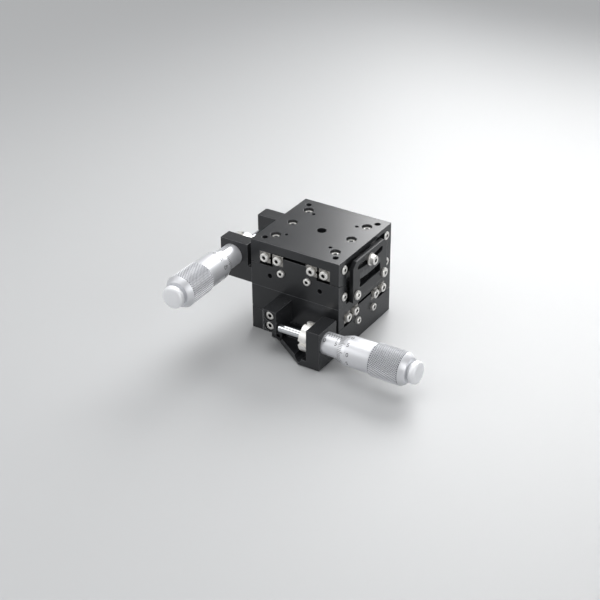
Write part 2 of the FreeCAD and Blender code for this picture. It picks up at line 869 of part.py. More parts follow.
def contact_block(unit):
    """Block on the stage's side that the spindle pushes against."""
    body = new_body(unit.tag("contact_body"))
    edge = "contact_chamfer"
    near = "contact_face"
    far = "contact_face + contact_width"
    out = f"-{HALF} - block_reach"
    pad_up(
        body,
        "contact",
        [
            (f"-{HALF}", near),
            (f"-{HALF}", far),
            (f"{out} + {edge}", far),
            (out, f"{far} - {edge}"),
            (out, near),
        ],
        "contact_top - contact_bottom",
    )
    body.setExpression("Placement.Base.z", bind("contact_bottom"))
    tools = []
    for height, mark in (("contact_screw_low", "a"), ("contact_screw_high", "b")):
        name = unit.tag(f"contact_bore_{mark}")
        middle = "contact_face + contact_width / 2"
        tools.append(bore(name, "cap_bore_diameter", "contact_bore_depth", out, middle, height, "X"))
        name = unit.tag(f"contact_hole_{mark}")
        tools.append(way(name, "2 * block_reach", out, middle, height, "X"))
    return unit.seat(cut(unit.tag("contact_cut"), body, *tools), "contact_block")


def along_axis(unit, obj, node):
    """Seats a part that was made along +X on the micrometer's axis, which points to -Y."""
    obj.Label = unit.tag(node)
    stand = -number(HALF) - size("axis_offset")
    spot = Vector(stand, -number(HALF), size("axis_height"))
    own = Placement(spot, Rotation(Vector(0, 0, 1), -90))
    whole = Placement(Vector(0, 0, number(unit.lift)), Rotation(Vector(0, 0, 1), unit.turn))
    obj.Placement = whole * own
    sine, cosine = (0, 1) if unit.turn == 0 else (1, 0)
    side = f"(-{HALF} - axis_offset)"
    back = f"(-{HALF})"
    obj.setExpression("Placement.Base.x", bind(f"{cosine} * {side} - {sine} * {back}"))
    obj.setExpression("Placement.Base.y", bind(f"{sine} * {side} + {cosine} * {back}"))
    obj.setExpression("Placement.Base.z", bind(f"{unit.lift} + axis_height"))
    nodes.append(obj)
    return obj


TIP = f"(-({HALF}) - contact_face + tip_gap)"


def micrometer(unit):
    """Micrometer head: X runs from the holder's outer face towards the knob."""
    radius = "spindle_diameter / 2"
    spindle = flat_part(
        unit.tag("spindle_shape"),
        int(size("bore_sides")),
        [
            (TIP, "tip_flat"),
            (f"{TIP} + tip_dome / 3", f"{radius} - tip_dome"),
            (f"{TIP} + tip_dome", radius),
            ("screw_start - sleeve_play", radius),
        ],
    )
    along_axis(unit, spindle, "spindle")

    sleeve = new_body(unit.tag("sleeve_body"))
    outer = "sleeve_diameter / 2"
    narrow = "spindle_diameter + 2 * core_play"
    wide = "screw_diameter + 2 * core_play"
    stem = "(-holder_thickness - stem_length)"
    turned(
        sleeve,
        "sleeve",
        [(stem, "0"), (stem, outer), ("sleeve_end", outer), ("sleeve_end", "0")],
    )
    ways = [
        bore(unit.tag("sleeve_way"), narrow, f"sleeve_end - {stem}", stem, along="X"),
        bore(unit.tag("sleeve_room"), wide, "sleeve_end - sleeve_step", "sleeve_step", along="X"),
    ]
    along_axis(unit, cut(unit.tag("sleeve_cut"), sleeve, *ways), "micrometer_sleeve")

    nut = new_body(unit.tag("nut_body"))
    front = "(-holder_thickness - nut_thickness)"
    turned(
        nut,
        "nut",
        [
            (front, outer),
            (front, "nut_diameter / 2"),
            ("-holder_thickness", "nut_diameter / 2"),
            ("-holder_thickness", outer),
        ],
    )
    notches = []
    for i in range(int(size("nut_notches"))):
        tool = box(
            unit.tag(f"notch_{i}"),
            "nut_thickness",
            "nut_notch_width",
            "nut_notch_depth * 2",
            front,
            0,
            0,
        )
        angle = 360.0 * i / size("nut_notches")
        turn = Rotation(Vector(1, 0, 0), angle)
        corner = Vector(0, -size("nut_notch_width") / 2, size("nut_diameter") / 2 - size("nut_notch_depth"))
        tool.setExpression("Placement.Base.x", bind(front))
        tool.Placement = Placement(turn.multVec(corner) + Vector(number(front), 0, 0), turn)
        notches.append(tool)
    along_axis(unit, cut(unit.tag("nut_cut"), nut, *notches), "lock_nut")

    sides = int(size("turned_sides"))
    thimble = flat_part(
        unit.tag("thimble_shape"),
        sides,
        [
            ("thimble_end - stub_length", "ratchet_stub / 2 + core_play"),
            ("thimble_end", "ratchet_stub / 2 + core_play"),
            ("thimble_end", "end_diameter / 2"),
            ("knurl_end", "knurl_diameter / 2"),
            ("knurl_start", "knurl_diameter / 2"),
            ("knurl_start", "thimble_diameter / 2"),
            ("thimble_start + bevel_length", "thimble_diameter / 2"),
            ("thimble_start", "bevel_diameter / 2"),
            ("thimble_start", "thimble_bore / 2"),
            ("thimble_back", "thimble_bore / 2"),
            ("thimble_back", "screw_diameter / 2"),
            ("screw_start", "screw_diameter / 2"),
        ],
    )
    along_axis(unit, thimble, "thimble")

    ratchet = flat_part(
        unit.tag("ratchet_shape"),
        sides,
        [
            ("thimble_end - stub_length + sleeve_play", "ratchet_stub / 2"),
            ("ratchet_start", "ratchet_stub / 2"),
            ("ratchet_start", "ratchet_neck / 2"),
            ("ratchet_start + neck_length", "ratchet_neck / 2"),
            ("ratchet_start + neck_length", "ratchet_diameter / 2"),
            ("ratchet_end - edge_chamfer", "ratchet_diameter / 2"),
            ("ratchet_end", "ratchet_diameter / 2 - edge_chamfer"),
        ],
    )
    along_axis(unit, ratchet, "ratchet_knob")


def clamp_plate(unit):
    """Plate with an arc slot for the clamp screw and a window over the index line."""
    start = f"{HALF} + pad_reach"
    body = new_body(unit.tag("plate_body"))
    wide = "plate_half_width"
    corner = "plate_corner"
    sketch = outline(
        body,
        unit.tag("plate_outline"),
        "YZ_Plane",
        [
            (f"-{wide}", "plate_bottom"),
            (wide, "plate_bottom"),
            (wide, f"plate_top - {corner}"),
            (f"{wide} - {corner}", "plate_top"),
            (f"-{wide} + {corner}", "plate_top"),
            (f"-{wide}", f"plate_top - {corner}"),
        ],
    )
    pad = body.newObject("PartDesign::Pad", unit.tag("plate_pad_up"))
    pad.Profile = sketch
    pad.setExpression("Length", bind("plate_thickness"))
    put(body, start)
    slot_radius = f"({unit.centre} - clamp_slot_height)"
    ring = cut(
        unit.tag("slot_ring"),
        unit.drum("slot_outer", f"{slot_radius} + clamp_slot_width / 2"),
        unit.drum("slot_inner", f"{slot_radius} - clamp_slot_width / 2"),
    )
    span = box(
        unit.tag("slot_span"),
        "block_width * 2",
        "2 * clamp_slot_reach",
        "unit_height",
        0,
        "-clamp_slot_reach",
    )
    slot = common(unit.tag("slot_arc"), ring, span)
    rise = f"{unit.centre} - sqrt({slot_radius}^2 - clamp_slot_reach^2)"
    ends = []
    for sign, side in SIGNS:
        spot = f"{sign} * clamp_slot_reach"
        name = unit.tag(f"slot_end_{side}")
        ends.append(rod(name, "clamp_slot_width", "block_width", 0, spot, rise, "X"))
    window = cut(
        unit.tag("window_arc"),
        box(
            unit.tag("window_box"),
            "block_width",
            "2 * window_half_width",
            "unit_height",
            0,
            "-window_half_width",
            "window_bottom",
        ),
        unit.drum("window_drum", f"{unit.centre} - window_top"),
    )
    ways = [
        way(
            unit.tag(f"plate_hole_{side}"),
            "block_width",
            0,
            f"{s} * plate_screw_offset",
            "plate_screw_height",
            "X",
        )
        for s, side in SIGNS
    ]
    return unit.seat(cut(unit.tag("plate_cut"), body, slot, *ends, window, *ways), "clamp_plate")


def clamp_screw(unit):
    """Clamp screw through the plate's slot into the stage, and the washer under its head."""
    face = f"{HALF} + pad_reach + plate_thickness"
    place = ("washer_thickness", face, 0, "clamp_slot_height", "X")
    disc = rod(unit.tag("washer_disc"), "washer_diameter", *place)
    washer = cut(unit.tag("washer_cut"), disc, clamp_way(unit.tag("washer_hole"), *place))
    unit.seat(washer, "clamp_washer")
    seat = (number(f"{face} + washer_thickness"), 0, size("clamp_slot_height"))
    length = f"{face} + washer_thickness - {HALF} + {CLAMP_THREAD}"
    cap_screws(
        unit, "clamp_screw", [(seat, (1, 0, 0))], "clamp_head_diameter", "clamp_head_height", length
    )


def fasteners(unit):
    half = size("block_width") / 2
    spacing = size("rail_screw_spacing")
    top = size("unit_height") - size("cap_bore_depth")
    outer = number(OUTER_RAIL)
    inner = number(INNER_RAIL)
    up, down = (0, 0, 1), (0, 0, -1)
    spots = [((s * outer, i * spacing, top), up) for s in (-1, 1) for i in OUTER_STEPS]
    cap = ("cap_head_diameter", "cap_head_height")
    cap_screws(unit, "outer_rail_screws", spots, *cap, "cap_shank_length")
    low = size("foot_bore_depth")
    spots = [((s * inner, i * spacing, low), down) for s in (-1, 1) for i in INNER_STEPS]
    cap_screws(unit, "inner_rail_screws", spots, *cap, "foot_shank_length")
    level = number(end_height(unit))
    for node, middle in (("outer_rail_end_screws", outer), ("inner_rail_end_screws", inner)):
        gap = size("rail_end_gap")
        spots = [((s * middle, e * (half - gap), level), (0, e, 0)) for s in (-1, 1) for e in (-1, 1)]
        short = "end_shank_length - rail_end_gap"
        cap_screws(unit, node, spots, "end_head_diameter", "end_head_height", short)
    offset = size("stop_offset")
    level = number(STOP_HEIGHT)
    spots = [((s * offset, e * half, level), (0, e, 0)) for s in (-1, 1) for e in (-1, 1)]
    cap_screws(unit, "stop_screws", spots, "stop_head_diameter", "end_head_height", "end_shank_length")
    side = size("side_screw_offset")
    for node, alias in (("base_side_screws", "side_screw_low"), ("stage_side_screws", "side_screw_high")):
        spots = [((half, s * side, size(alias)), (1, 0, 0)) for s in (-1, 1)]
        cap_screws(unit, node, spots, "side_head_diameter", "side_head_height", "side_shank_length")
    face = half + size("pad_reach") + size("plate_thickness")
    apart, level = size("plate_screw_offset"), size("plate_screw_height")
    spots = [((face, s * apart, level), (1, 0, 0)) for s in (-1, 1)]
    flat = ("plate_screw_head", "plate_screw_head_height")
    cap_screws(unit, "clamp_plate_screws", spots, *flat, "plate_shank_length")
    seat = -half - size("block_reach") + size("contact_bore_depth")
    middle = size("contact_face") + size("contact_width") / 2
    heights = (size("contact_screw_low"), size("contact_screw_high"))
    spots = [((seat, middle, z), (-1, 0, 0)) for z in heights]
    cap_screws(unit, "contact_block_screws", spots, *cap, CONTACT_SHANK)
    seat = -half - size("flange_thickness")
    rows = (size("holder_screw_first"), -size("holder_screw_second"))
    spots = [((seat, y, size("holder_screw_height")), (-1, 0, 0)) for y in rows]
    length = "holder_shank_length + flange_thickness"
    cap_screws(unit, "holder_screws", spots, *cap, length)


def build_unit(unit, stage_name, stage_holes, base_holes):
    base_block(unit, base_holes)
    stage_block(unit, stage_name, stage_holes)
    rail_pair(unit, "inner_rails", INNER_RAIL, 1, rail_ways(unit, "inner_rails", INNER_RAIL))
    rail_pair(unit, "outer_rails", OUTER_RAIL, -1, rail_ways(unit, "outer_rails", OUTER_RAIL))
    cages(unit)
    spring_and_pins(unit)
    holder(unit)
    contact_block(unit)
    micrometer(unit)
    clamp_plate(unit)
    clamp_screw(unit)
    fasteners(unit)


top_holes = corner_rods(
    upper,
    rod,
    "corner_hole",
    "corner_hole_diameter",
    "corner_hole_depth",
    "corner_hole_offset",
    "corner_hole_offset",
    "unit_height - corner_hole_depth",
)
top_holes += corner_rods(
    upper,
    rod,
    "small_hole",
    "small_hole_diameter",
    "small_hole_depth",
    "small_hole_offset",
    "small_hole_offset",
    "unit_height - small_hole_depth",
)
top_holes.append(
    rod("centre_bore", "centre_bore_diameter", "centre_bore_depth", 0, 0, "unit_height - centre_bore_depth")
)
# holes for the four screws that hold the upper base on the lower carriage
web_holes = corner_rods(
    lower,
    bore,
    "join_way",
    "join_shank_diameter + 2 * screw_play",
    "unit_height",
    "join_offset_y",
    "join_offset_x",
    0,
)
web_holes += corner_rods(
    lower,
    bore,
    "join_bore",
    "join_head_diameter + join_head_play",
    f"unit_height - {JOIN_SEAT}",
    "join_offset_y",
    "join_offset_x",
    0,
)
upper_foot_holes = corner_rods(
    upper,
    bore,
    "join_thread",
    "join_shank_diameter + 2 * screw_play",
    "join_thread_depth",
    "join_offset_x",
    "join_offset_y",
    0,
)
for sign, side in SIGNS:
    spot = f"{sign} * face_hole_offset"
    name = f"face_hole_{side}"
    upper_foot_holes.append(
        rod(name, "face_hole_diameter", "face_hole_depth", spot, f"-{HALF}", "face_hole_height", "Y")
    )
lower_foot_holes = corner_rods(
    lower,
    rod,
    "table_hole",
    "corner_hole_diameter",
    "corner_hole_depth",
    "corner_hole_offset",
    "corner_hole_offset",
    0,
)
build_unit(lower, "carriage", web_holes, lower_foot_holes)
build_unit(upper, "stage_plate", top_holes, upper_foot_holes)

seat = size("unit_height") - number(JOIN_SEAT)
spots = [
    ((sx * size("join_offset_y"), sy * size("join_offset_x"), seat), (0, 0, -1))
    for sx in (-1, 1)
    for sy in (-1, 1)
]
length = f"{JOIN_SEAT} + join_thread_depth"
solids = [
    screw(*spot, "join_head_diameter", "join_head_height", "join_shank_diameter", length) for spot in spots
]
joining = doc.addObject("Part::Feature", "joining_shape")
joining.Shape = Part.makeCompound(solids)
lower.seat(joining, "unit_joining_screws")

doc.recompute()
for obj in doc.Objects:
    bad = [state for state in obj.State if state in ("Invalid", "Error")]
    if bad:
        raise RuntimeError(f"{obj.Name} ({obj.Label}) is {bad}")
os.makedirs("parts", exist_ok=True)
for obj in nodes:
    shape = obj.Shape
    if shape.isNull() or not shape.isValid() or not shape.Solids:
        raise RuntimeError(f"{obj.Label} has no valid shape")
    shape.exportStep(f"parts/{obj.Label}.step")
    print(f"{obj.Label}: {len(shape.Solids)} solids, {shape.Volume:.1f} mm3")
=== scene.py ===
import json
import logging
import math
from collections.abc import Callable, Sequence
from dataclasses import dataclass, field, replace
from enum import Enum

import bpy
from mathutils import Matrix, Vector

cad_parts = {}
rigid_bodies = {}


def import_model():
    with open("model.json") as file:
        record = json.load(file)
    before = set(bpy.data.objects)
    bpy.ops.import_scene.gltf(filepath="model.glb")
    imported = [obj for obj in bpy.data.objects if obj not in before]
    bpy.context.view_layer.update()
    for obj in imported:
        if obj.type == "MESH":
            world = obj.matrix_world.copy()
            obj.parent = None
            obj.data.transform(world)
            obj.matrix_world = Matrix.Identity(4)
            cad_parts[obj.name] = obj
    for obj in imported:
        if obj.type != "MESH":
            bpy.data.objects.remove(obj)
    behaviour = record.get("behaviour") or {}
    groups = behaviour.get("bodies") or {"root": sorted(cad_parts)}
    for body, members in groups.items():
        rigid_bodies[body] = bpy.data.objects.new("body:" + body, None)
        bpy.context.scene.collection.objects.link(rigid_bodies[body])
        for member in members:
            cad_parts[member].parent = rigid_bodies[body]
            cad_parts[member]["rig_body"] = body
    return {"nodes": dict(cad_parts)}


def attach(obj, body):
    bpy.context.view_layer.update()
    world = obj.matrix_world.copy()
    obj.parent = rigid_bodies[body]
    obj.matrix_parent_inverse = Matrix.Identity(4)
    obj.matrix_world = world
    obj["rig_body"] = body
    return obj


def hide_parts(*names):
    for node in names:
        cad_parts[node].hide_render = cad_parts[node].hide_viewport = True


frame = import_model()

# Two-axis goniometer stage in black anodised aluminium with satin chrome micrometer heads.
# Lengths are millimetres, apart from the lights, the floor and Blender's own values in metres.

LOG = logging.getLogger("goniometer_stage")
MM = 0.001
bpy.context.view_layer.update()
Ring = list[Vector]
Point = tuple[float, float, float]
Pairs = Sequence[tuple[float, float]]

# Noise of the fine grain and of the larger patches in every metal.
GRAIN_NOISE = {"Scale": 1.0, "Detail": 2.0, "Roughness": 0.6}
PATCH_NOISE = {"Detail": 3.0, "Roughness": 0.55}
# Cosines between a face and its softened edge, where the lighter edge colour starts and where it
# is full; that colour is partly wear and partly painted highlight.
WEAR_AND_HIGHLIGHT_STARTS, WEAR_AND_HIGHLIGHT_FULL = 0.995, 0.86
BEVEL_SAMPLES = 6
# Figures are this much lower than the size that Blender's font is set to, and this smooth.
FONT_SCALE, FONT_STEPS = 1.4, 3
# Marks stand this far off their surface, so that they show.
PROUD = 0.012
MICROMETRES_IN_METRE, MICROMETRES_IN_MM = 1e6, 1000
# A hexagon looks the same after this many degrees.
HEXAGON_TURN = 60

# Turned profiles, as pairs of reach and radius that start from the point named with each.
# From the end of the thimble's bevel and the barrel: the soft change from one to the other.
BEVEL_BACK = ((-0.1, -0.02), (0.2, 0.0))
# From the knurl's start and the barrel: the relief groove before the knurl.
RELIEF = ((-0.5, 0.0), (-0.35, -0.12), (-0.1, -0.12), (0.0, 0.1))
# From the knurl's end and its radius: the broken edge behind the knurl.
KNURL_BACK = ((0.0, -0.25), (0.12, -0.12), (0.5, -0.3))
# From the thimble's end and the radius of its end face: where the cone behind the knurl ends.
CONE_END = ((-0.3, 0.12),)
# From the knob's start and its axis: the waist under the mushroom head.
KNOB_WAIST = ((0.0, 3.35), (0.25, 3.2), (0.7, 3.25), (0.95, 3.6), (1.1, 4.1))
# From the knob's end and its axis: the dome of its face.
KNOB_DOME = ((-0.1, 2.4), (-0.02, 1.2), (0.0, 0.0))
# From the spindle's tip and its axis, and from its tip and its side: the dome of its end.
SPINDLE_NOSE = ((0.0, 0.0), (0.04, 0.6))
SPINDLE_DOME = ((0.16, -0.5), (0.3, -0.2), (0.5, 0.0))


class Unit(Enum):
    """The two tilt units: the lower swings along X and the upper along Y."""

    LOWER = "lower"
    UPPER = "upper"


class Way(Enum):
    """Directions in which a screw head or a face looks, in the object's frame."""

    LEFT = (-1, 0, 0)
    RIGHT = (1, 0, 0)
    FRONT = (0, -1, 0)
    BACK = (0, 1, 0)
    DOWN = (0, 0, -1)
    UP = (0, 0, 1)


def linear(code: str) -> tuple[float, float, float, float]:
    """Turns an sRGB hex colour into linear RGBA.

    Args:
        code: Six hex digits, with or without a leading hash.

    Returns:
        Linear red, green, blue and an alpha of one.
    """
    digits = code.lstrip("#")
    parts = [int(digits[i : i + 2], 16) / 255 for i in (0, 2, 4)]
    red, green, blue = (p / 12.92 if p <= 0.04045 else ((p + 0.055) / 1.055) ** 2.4 for p in parts)
    return red, green, blue, 1.0


def add_node(
    tree: bpy.types.NodeTree,
    kind: str,
    settings: dict[str | int, object] | None = None,
    links: dict[str | int, bpy.types.NodeSocket] | None = None,
) -> bpy.types.Node:
    """Adds a shader node with its settings and links.

    Args:
        tree: The material's node tree.
        kind: The node's type name.
        settings: Values by input name or index, or by the node's own attribute.
        links: Output sockets to join to inputs, by input name or index.

    Returns:
        The new node.
    """
    node = tree.nodes.new(kind)
    for key, value in (settings or {}).items():
        if isinstance(key, int) or key in node.inputs:
            node.inputs[key].default_value = value
        else:
            setattr(node, key, value)
    for key, socket in (links or {}).items():
        tree.links.new(socket, node.inputs[key])
    return node


@dataclass(frozen=True)
class MetalFinish:
    """A metal surface with two close tones, uneven gloss, a fine grain and lighter edges that are
    partly wear and partly painted highlight.

    The grain runs in lines where the stretch differs along the axes, as on turned or ground
    metal, and is even where it doesn't, as on blasted metal. Painted shade darkens a turned
    surface where it lies nearer to its axis, in the grooves of knurling.

    Attributes:
        name: The real material and process.
        tone: Its first colour.
        second_tone: The colour of its patches.
        metallic: Share of metal reflection.
        roughness: Its mean roughness.
        gloss_change: How far the roughness swings either way.
        grain: Size of the grain.
        grain_depth: Depth of the grain.
        stretch: How the grain is scaled along each axis.
        edge_tone: Colour of its lighter edges, partly wear and partly painted highlight.
        edge_share: How much of that colour the sharpest edge gets.
        edge_radius: Width over which edges are softened.
        patch: Size of the patches.
        groove_tone: Painted shade in the grooves of knurling.
        groove_reach: Radii between which the painted groove shade gives way.
        axis_start: A point on the knurling's axis.
        axis_across: One for each direction that is across the axis, and else zero.
    """

    name: str
    tone: str
    second_tone: str
    metallic: float
    roughness: float
    gloss_change: float
    grain: float
    grain_depth: float
    stretch: tuple[float, float, float] = (1.0, 1.0, 1.0)
    edge_tone: str = ""
    edge_share: float = 0.0
    edge_radius: float = 0.2
    patch: float = 9.0
    groove_tone: str = ""
    groove_reach: tuple[float, float] = (6.31, 6.45)
    axis_start: Point = (0.0, 0.0, 0.0)
    axis_across: Point = (0.0, 1.0, 1.0)

    def grooved(
        self,
        tree: bpy.types.NodeTree,
        where: bpy.types.NodeSocket,
        colour: bpy.types.NodeSocket,
    ) -> bpy.types.NodeSocket:
        """Paints shade on a turned surface where it lies nearer to its axis, in the grooves of
        deep knurling.

        Args:
            tree: The material's node tree.
            where: The place of each point, in metres.
            colour: The colour of the high parts.

        Returns:
            The colour with painted shade in its grooves.
        """
        stand = tuple(c * MM for c in self.axis_start)
        place = add_node(
            tree, "ShaderNodeVectorMath", {"operation": "SUBTRACT", 1: stand}, {0: where}
        )
        spoke = add_node(
            tree,
            "ShaderNodeVectorMath",
            {"operation": "MULTIPLY", 1: self.axis_across},
            {0: place.outputs[0]},
        )
        radius = add_node(
            tree, "ShaderNodeVectorMath", {"operation": "LENGTH"}, {0: spoke.outputs[0]}
        )
        low, high = (reach * MM for reach in self.groove_reach)
        height = add_node(
            tree,
            "ShaderNodeMapRange",
            {"From Min": low, "From Max": high},
            {"Value": radius.outputs["Value"]},
        )
        mixed = add_node(
            tree,
            "ShaderNodeMix",
            {"data_type": "RGBA", 6: linear(self.groove_tone)},
            {0: height.outputs["Result"], 7: colour},
        )
        return mixed.outputs[2]

    def material(self) -> bpy.types.Material:
        """Builds the node material, or returns it if it was built before."""
        known = bpy.data.materials.get(self.name)
        if known:
            return known
        made = bpy.data.materials.new(self.name)
        made.use_nodes = True
        tree = made.node_tree
        tree.nodes.clear()
        where = add_node(tree, "ShaderNodeTexCoord").outputs["Object"]
        lines = add_node(
            tree,
            "ShaderNodeMapping",
            {"Scale": tuple(s / (self.grain * MM) for s in self.stretch)},
            {"Vector": where},
        )
        grain = add_node(
            tree,
            "ShaderNodeTexNoise",
            GRAIN_NOISE,
            {"Vector": lines.outputs["Vector"]},
        )
        patches = add_node(
            tree,
            "ShaderNodeTexNoise",
            {"Scale": 1 / (self.patch * MM), **PATCH_NOISE},
            {"Vector": where},
        )
        tone = add_node(
            tree,
            "ShaderNodeMix",
            {"data_type": "RGBA", 6: linear(self.tone), 7: linear(self.second_tone)},
            {0: patches.outputs[0]},
        )
        colour = tone.outputs[2]
        soft = add_node(
            tree, "ShaderNodeBevel", {"samples": BEVEL_SAMPLES, "Radius": self.edge_radius * MM}
        )
        # Lighter edges: partly wear, partly painted highlight along the softened edges.
        if self.edge_share:
            flat = add_node(tree, "ShaderNodeNewGeometry")
            agree = add_node(
                tree,
                "ShaderNodeVectorMath",
                {"operation": "DOT_PRODUCT"},
                {0: soft.outputs[0], 1: flat.outputs["Normal"]},
            )
            edge = add_node(
                tree,
                "ShaderNodeMapRange",
                {"From Min": WEAR_AND_HIGHLIGHT_STARTS, "From Max": WEAR_AND_HIGHLIGHT_FULL, "To Max": self.edge_share},
                {"Value": agree.outputs["Value"]},
            )
            worn_and_highlit = add_node(
                tree,
                "ShaderNodeMix",
                {"data_type": "RGBA", 7: linear(self.edge_tone)},
                {0: edge.outputs["Result"], 6: colour},
            )
            colour = worn_and_highlit.outputs[2]
        # Painted shade in the grooves of knurling.
        if self.groove_tone:
            colour = self.grooved(tree, where, colour)
        gloss = add_node(
            tree,
            "ShaderNodeMapRange",
            {
                "To Min": self.roughness - self.gloss_change,
                "To Max": self.roughness + self.gloss_change,
            },
            {"Value": patches.outputs[0]},
        )
        relief = add_node(
            tree,
            "ShaderNodeBump",
            {"Strength": 1.0, "Distance": self.grain_depth * MM},
            {"Height": grain.outputs[0], "Normal": soft.outputs[0]},
        )
        shader = add_node(
            tree,
            "ShaderNodeBsdfPrincipled",
            {"Metallic": self.metallic},
            {
                "Base Color": colour,
                "Roughness": gloss.outputs["Result"],
                "Normal": relief.outputs["Normal"],
            },
        )
        add_node(tree, "ShaderNodeOutputMaterial", links={"Surface": shader.outputs[0]})
        return made


# Milled aluminium blasted with fine grit and anodised black: a deep grey with a broad sheen.
# The real grit is about 0.05 mm; it is drawn at 0.25 mm so that it shows.
ANODISED = MetalFinish(
    "black_anodised_aluminium", "#28292b", "#303133", metallic=0.2, roughness=0.25,
    gloss_change=0.03, grain=0.25, grain_depth=0.002, edge_tone="#85878a", edge_share=0.6,
)
# The clamp plate is milled and anodised without blasting, so it is darker.
ANODISED_PLATE = MetalFinish(
    "black_anodised_milled_plate", "#1c1d1f", "#242527", metallic=0.2, roughness=0.3,
    gloss_change=0.05, grain=0.2, grain_depth=0.003, stretch=(1.0, 1.0, 0.15),
    edge_tone="#707275", edge_share=0.6,
)
# Hardened rails, ground lengthwise: bright with fine lines along the travel.
GROUND_RAIL_X = MetalFinish(
    "ground_steel_rail_along_x", "#9d9b97", "#8b8985", metallic=1.0, roughness=0.24,
    gloss_change=0.05, grain=0.12, grain_depth=0.002, stretch=(0.04, 1.0, 1.0),
    edge_tone="#f0eee8", edge_share=0.8, edge_radius=0.12,
)
GROUND_RAIL_Y = replace(
    GROUND_RAIL_X, name="ground_steel_rail_along_y", stretch=(1.0, 0.04, 1.0)
)
# Turned steel with satin chrome: pale, with faint rings round the axis.
SATIN_CHROME_X = MetalFinish(
    "satin_chrome_turned_along_x", "#dedfe2", "#d5d6da", metallic=0.55, roughness=0.4,
    gloss_change=0.04, grain=0.14, grain_depth=0.0025, stretch=(1.0, 0.05, 0.05),
    edge_tone="#ffffff", edge_share=0.3, edge_radius=0.12,
)
SATIN_CHROME_Y = replace(
    SATIN_CHROME_X, name="satin_chrome_turned_along_y", stretch=(0.05, 1.0, 0.05)
)
# Rolled knurling under the chrome: bright points and lines over grooves, which get painted shade.
KNURLED_CHROME_X = MetalFinish(
    "knurled_chrome_along_x", "#e9eaed", "#dfe0e4", metallic=0.5, roughness=0.38,
    gloss_change=0.04, grain=0.14, grain_depth=0.001, edge_radius=0.03,
    groove_tone="#5b5d63", axis_start=(20.0, -29.0, 10.4), axis_across=(0.0, 1.0, 1.0),
)
KNURLED_CHROME_Y = replace(
    KNURLED_CHROME_X,
    name="knurled_chrome_along_y",
    axis_start=(-29.0, -20.0, 30.4),
    axis_across=(1.0, 0.0, 1.0),
)
# Blasted chrome of the ratchet knobs: more matt than the turned parts, and whiter, partly as
# painted light that brightens the knob faces.
BLASTED_CHROME_WITH_PAINTED_LIGHT = MetalFinish(
    "bead_blasted_chrome_painted_light", "#f1f2f4", "#e9eaed", metallic=0.35, roughness=0.5,
    gloss_change=0.03, grain=0.16, grain_depth=0.002,
    edge_tone="#ffffff", edge_share=0.3, edge_radius=0.12,
)
# Satin nickel over steel: bright and faintly warm, with slight smudges.
NICKEL = MetalFinish(
    "satin_nickel_plated_steel", "#f0efec", "#e4e2de", metallic=0.7, roughness=0.34,
    gloss_change=0.05, grain=0.3, grain_depth=0.001,
    edge_tone="#ffffff", edge_share=0.4, edge_radius=0.06, patch=3.0,
)
# Inside of a key socket: painted shade, a near-black colour that stands in for the shade deep in
# the socket.
SOCKET_PAINTED_SHADE = MetalFinish(
    "socket_painted_shade", "#202021", "#2a2a2b", metallic=0.6, roughness=0.4,
    gloss_change=0.05, grain=0.2, grain_depth=0.001, patch=2.0,
)
# Ground and lapped bearing steel: cold and mirror bright.
BEARING_STEEL = MetalFinish(
    "lapped_bearing_steel", "#dadcdf", "#cfd1d4", metallic=1.0, roughness=0.14,
    gloss_change=0.03, grain=0.2, grain_depth=0.0008,
    edge_tone="#f2f4f6", edge_share=0.3, edge_radius=0.06, patch=3.0,
)
# Black oxide on steel screws: near black with an oily gloss.
BLACK_OXIDE = MetalFinish(
    "black_oxide_steel", "#161617", "#202022", metallic=0.8, roughness=0.3,
    gloss_change=0.06, grain=0.2, grain_depth=0.002,
    edge_tone="#5a5a5c", edge_share=0.5, edge_radius=0.06, patch=3.0,
)
# Drawn music wire: zinc grey with a soft shine.
SPRING_WIRE = MetalFinish(
    "drawn_spring_wire", "#9c9ea1", "#8a8c8f", metallic=1.0, roughness=0.3,
    gloss_change=0.05, grain=0.1, grain_depth=0.001, patch=2.0,
)
# Punched brass strip of the roller cages: a warm line between the rails.
CAGE_BRASS = MetalFinish(
    "punched_brass_strip", "#c9a55c", "#b8934a", metallic=1.0, roughness=0.28,
    gloss_change=0.05, grain=0.2, grain_depth=0.002, patch=3.0,
)
# Filled engraving on the chrome: matt black enamel in a cut line.
BLACK_ENAMEL = MetalFinish(
    "black_engraving_enamel", "#1c1d20", "#26272a", metallic=0.0, roughness=0.6,
    gloss_change=0.05, grain=0.2, grain_depth=0.001, patch=2.0,
)
# Filled engraving on the anodised plate: matt grey enamel, faint beside the metal.
GREY_ENAMEL = MetalFinish(
    "grey_engraving_enamel", "#8f9193", "#86888a", metallic=0.0, roughness=0.55,
    gloss_change=0.05, grain=0.2, grain_depth=0.001, patch=2.0,
)

# Kinds of screws: the height of the head, the size of its key and what sets it apart.
CAP_SCREW = {"head": 2.0, "key": 1.5, "knurled": True}
SIDE_SCREW = {"head": 0.6, "key": 1.3, "chamfer": 0.35}
PLATE_SCREW = {"head": 1.2, "key": 1.3, "chamfer": 0.4}
END_SCREW = {"head": 1.2, "key": 1.5}
STOP_SCREW = {"head": 1.2, "key": 1.3}
JOINING_SCREW = {"head": 2.5, "key": 2.0, "finish": BLACK_OXIDE, "shank": 1.25}


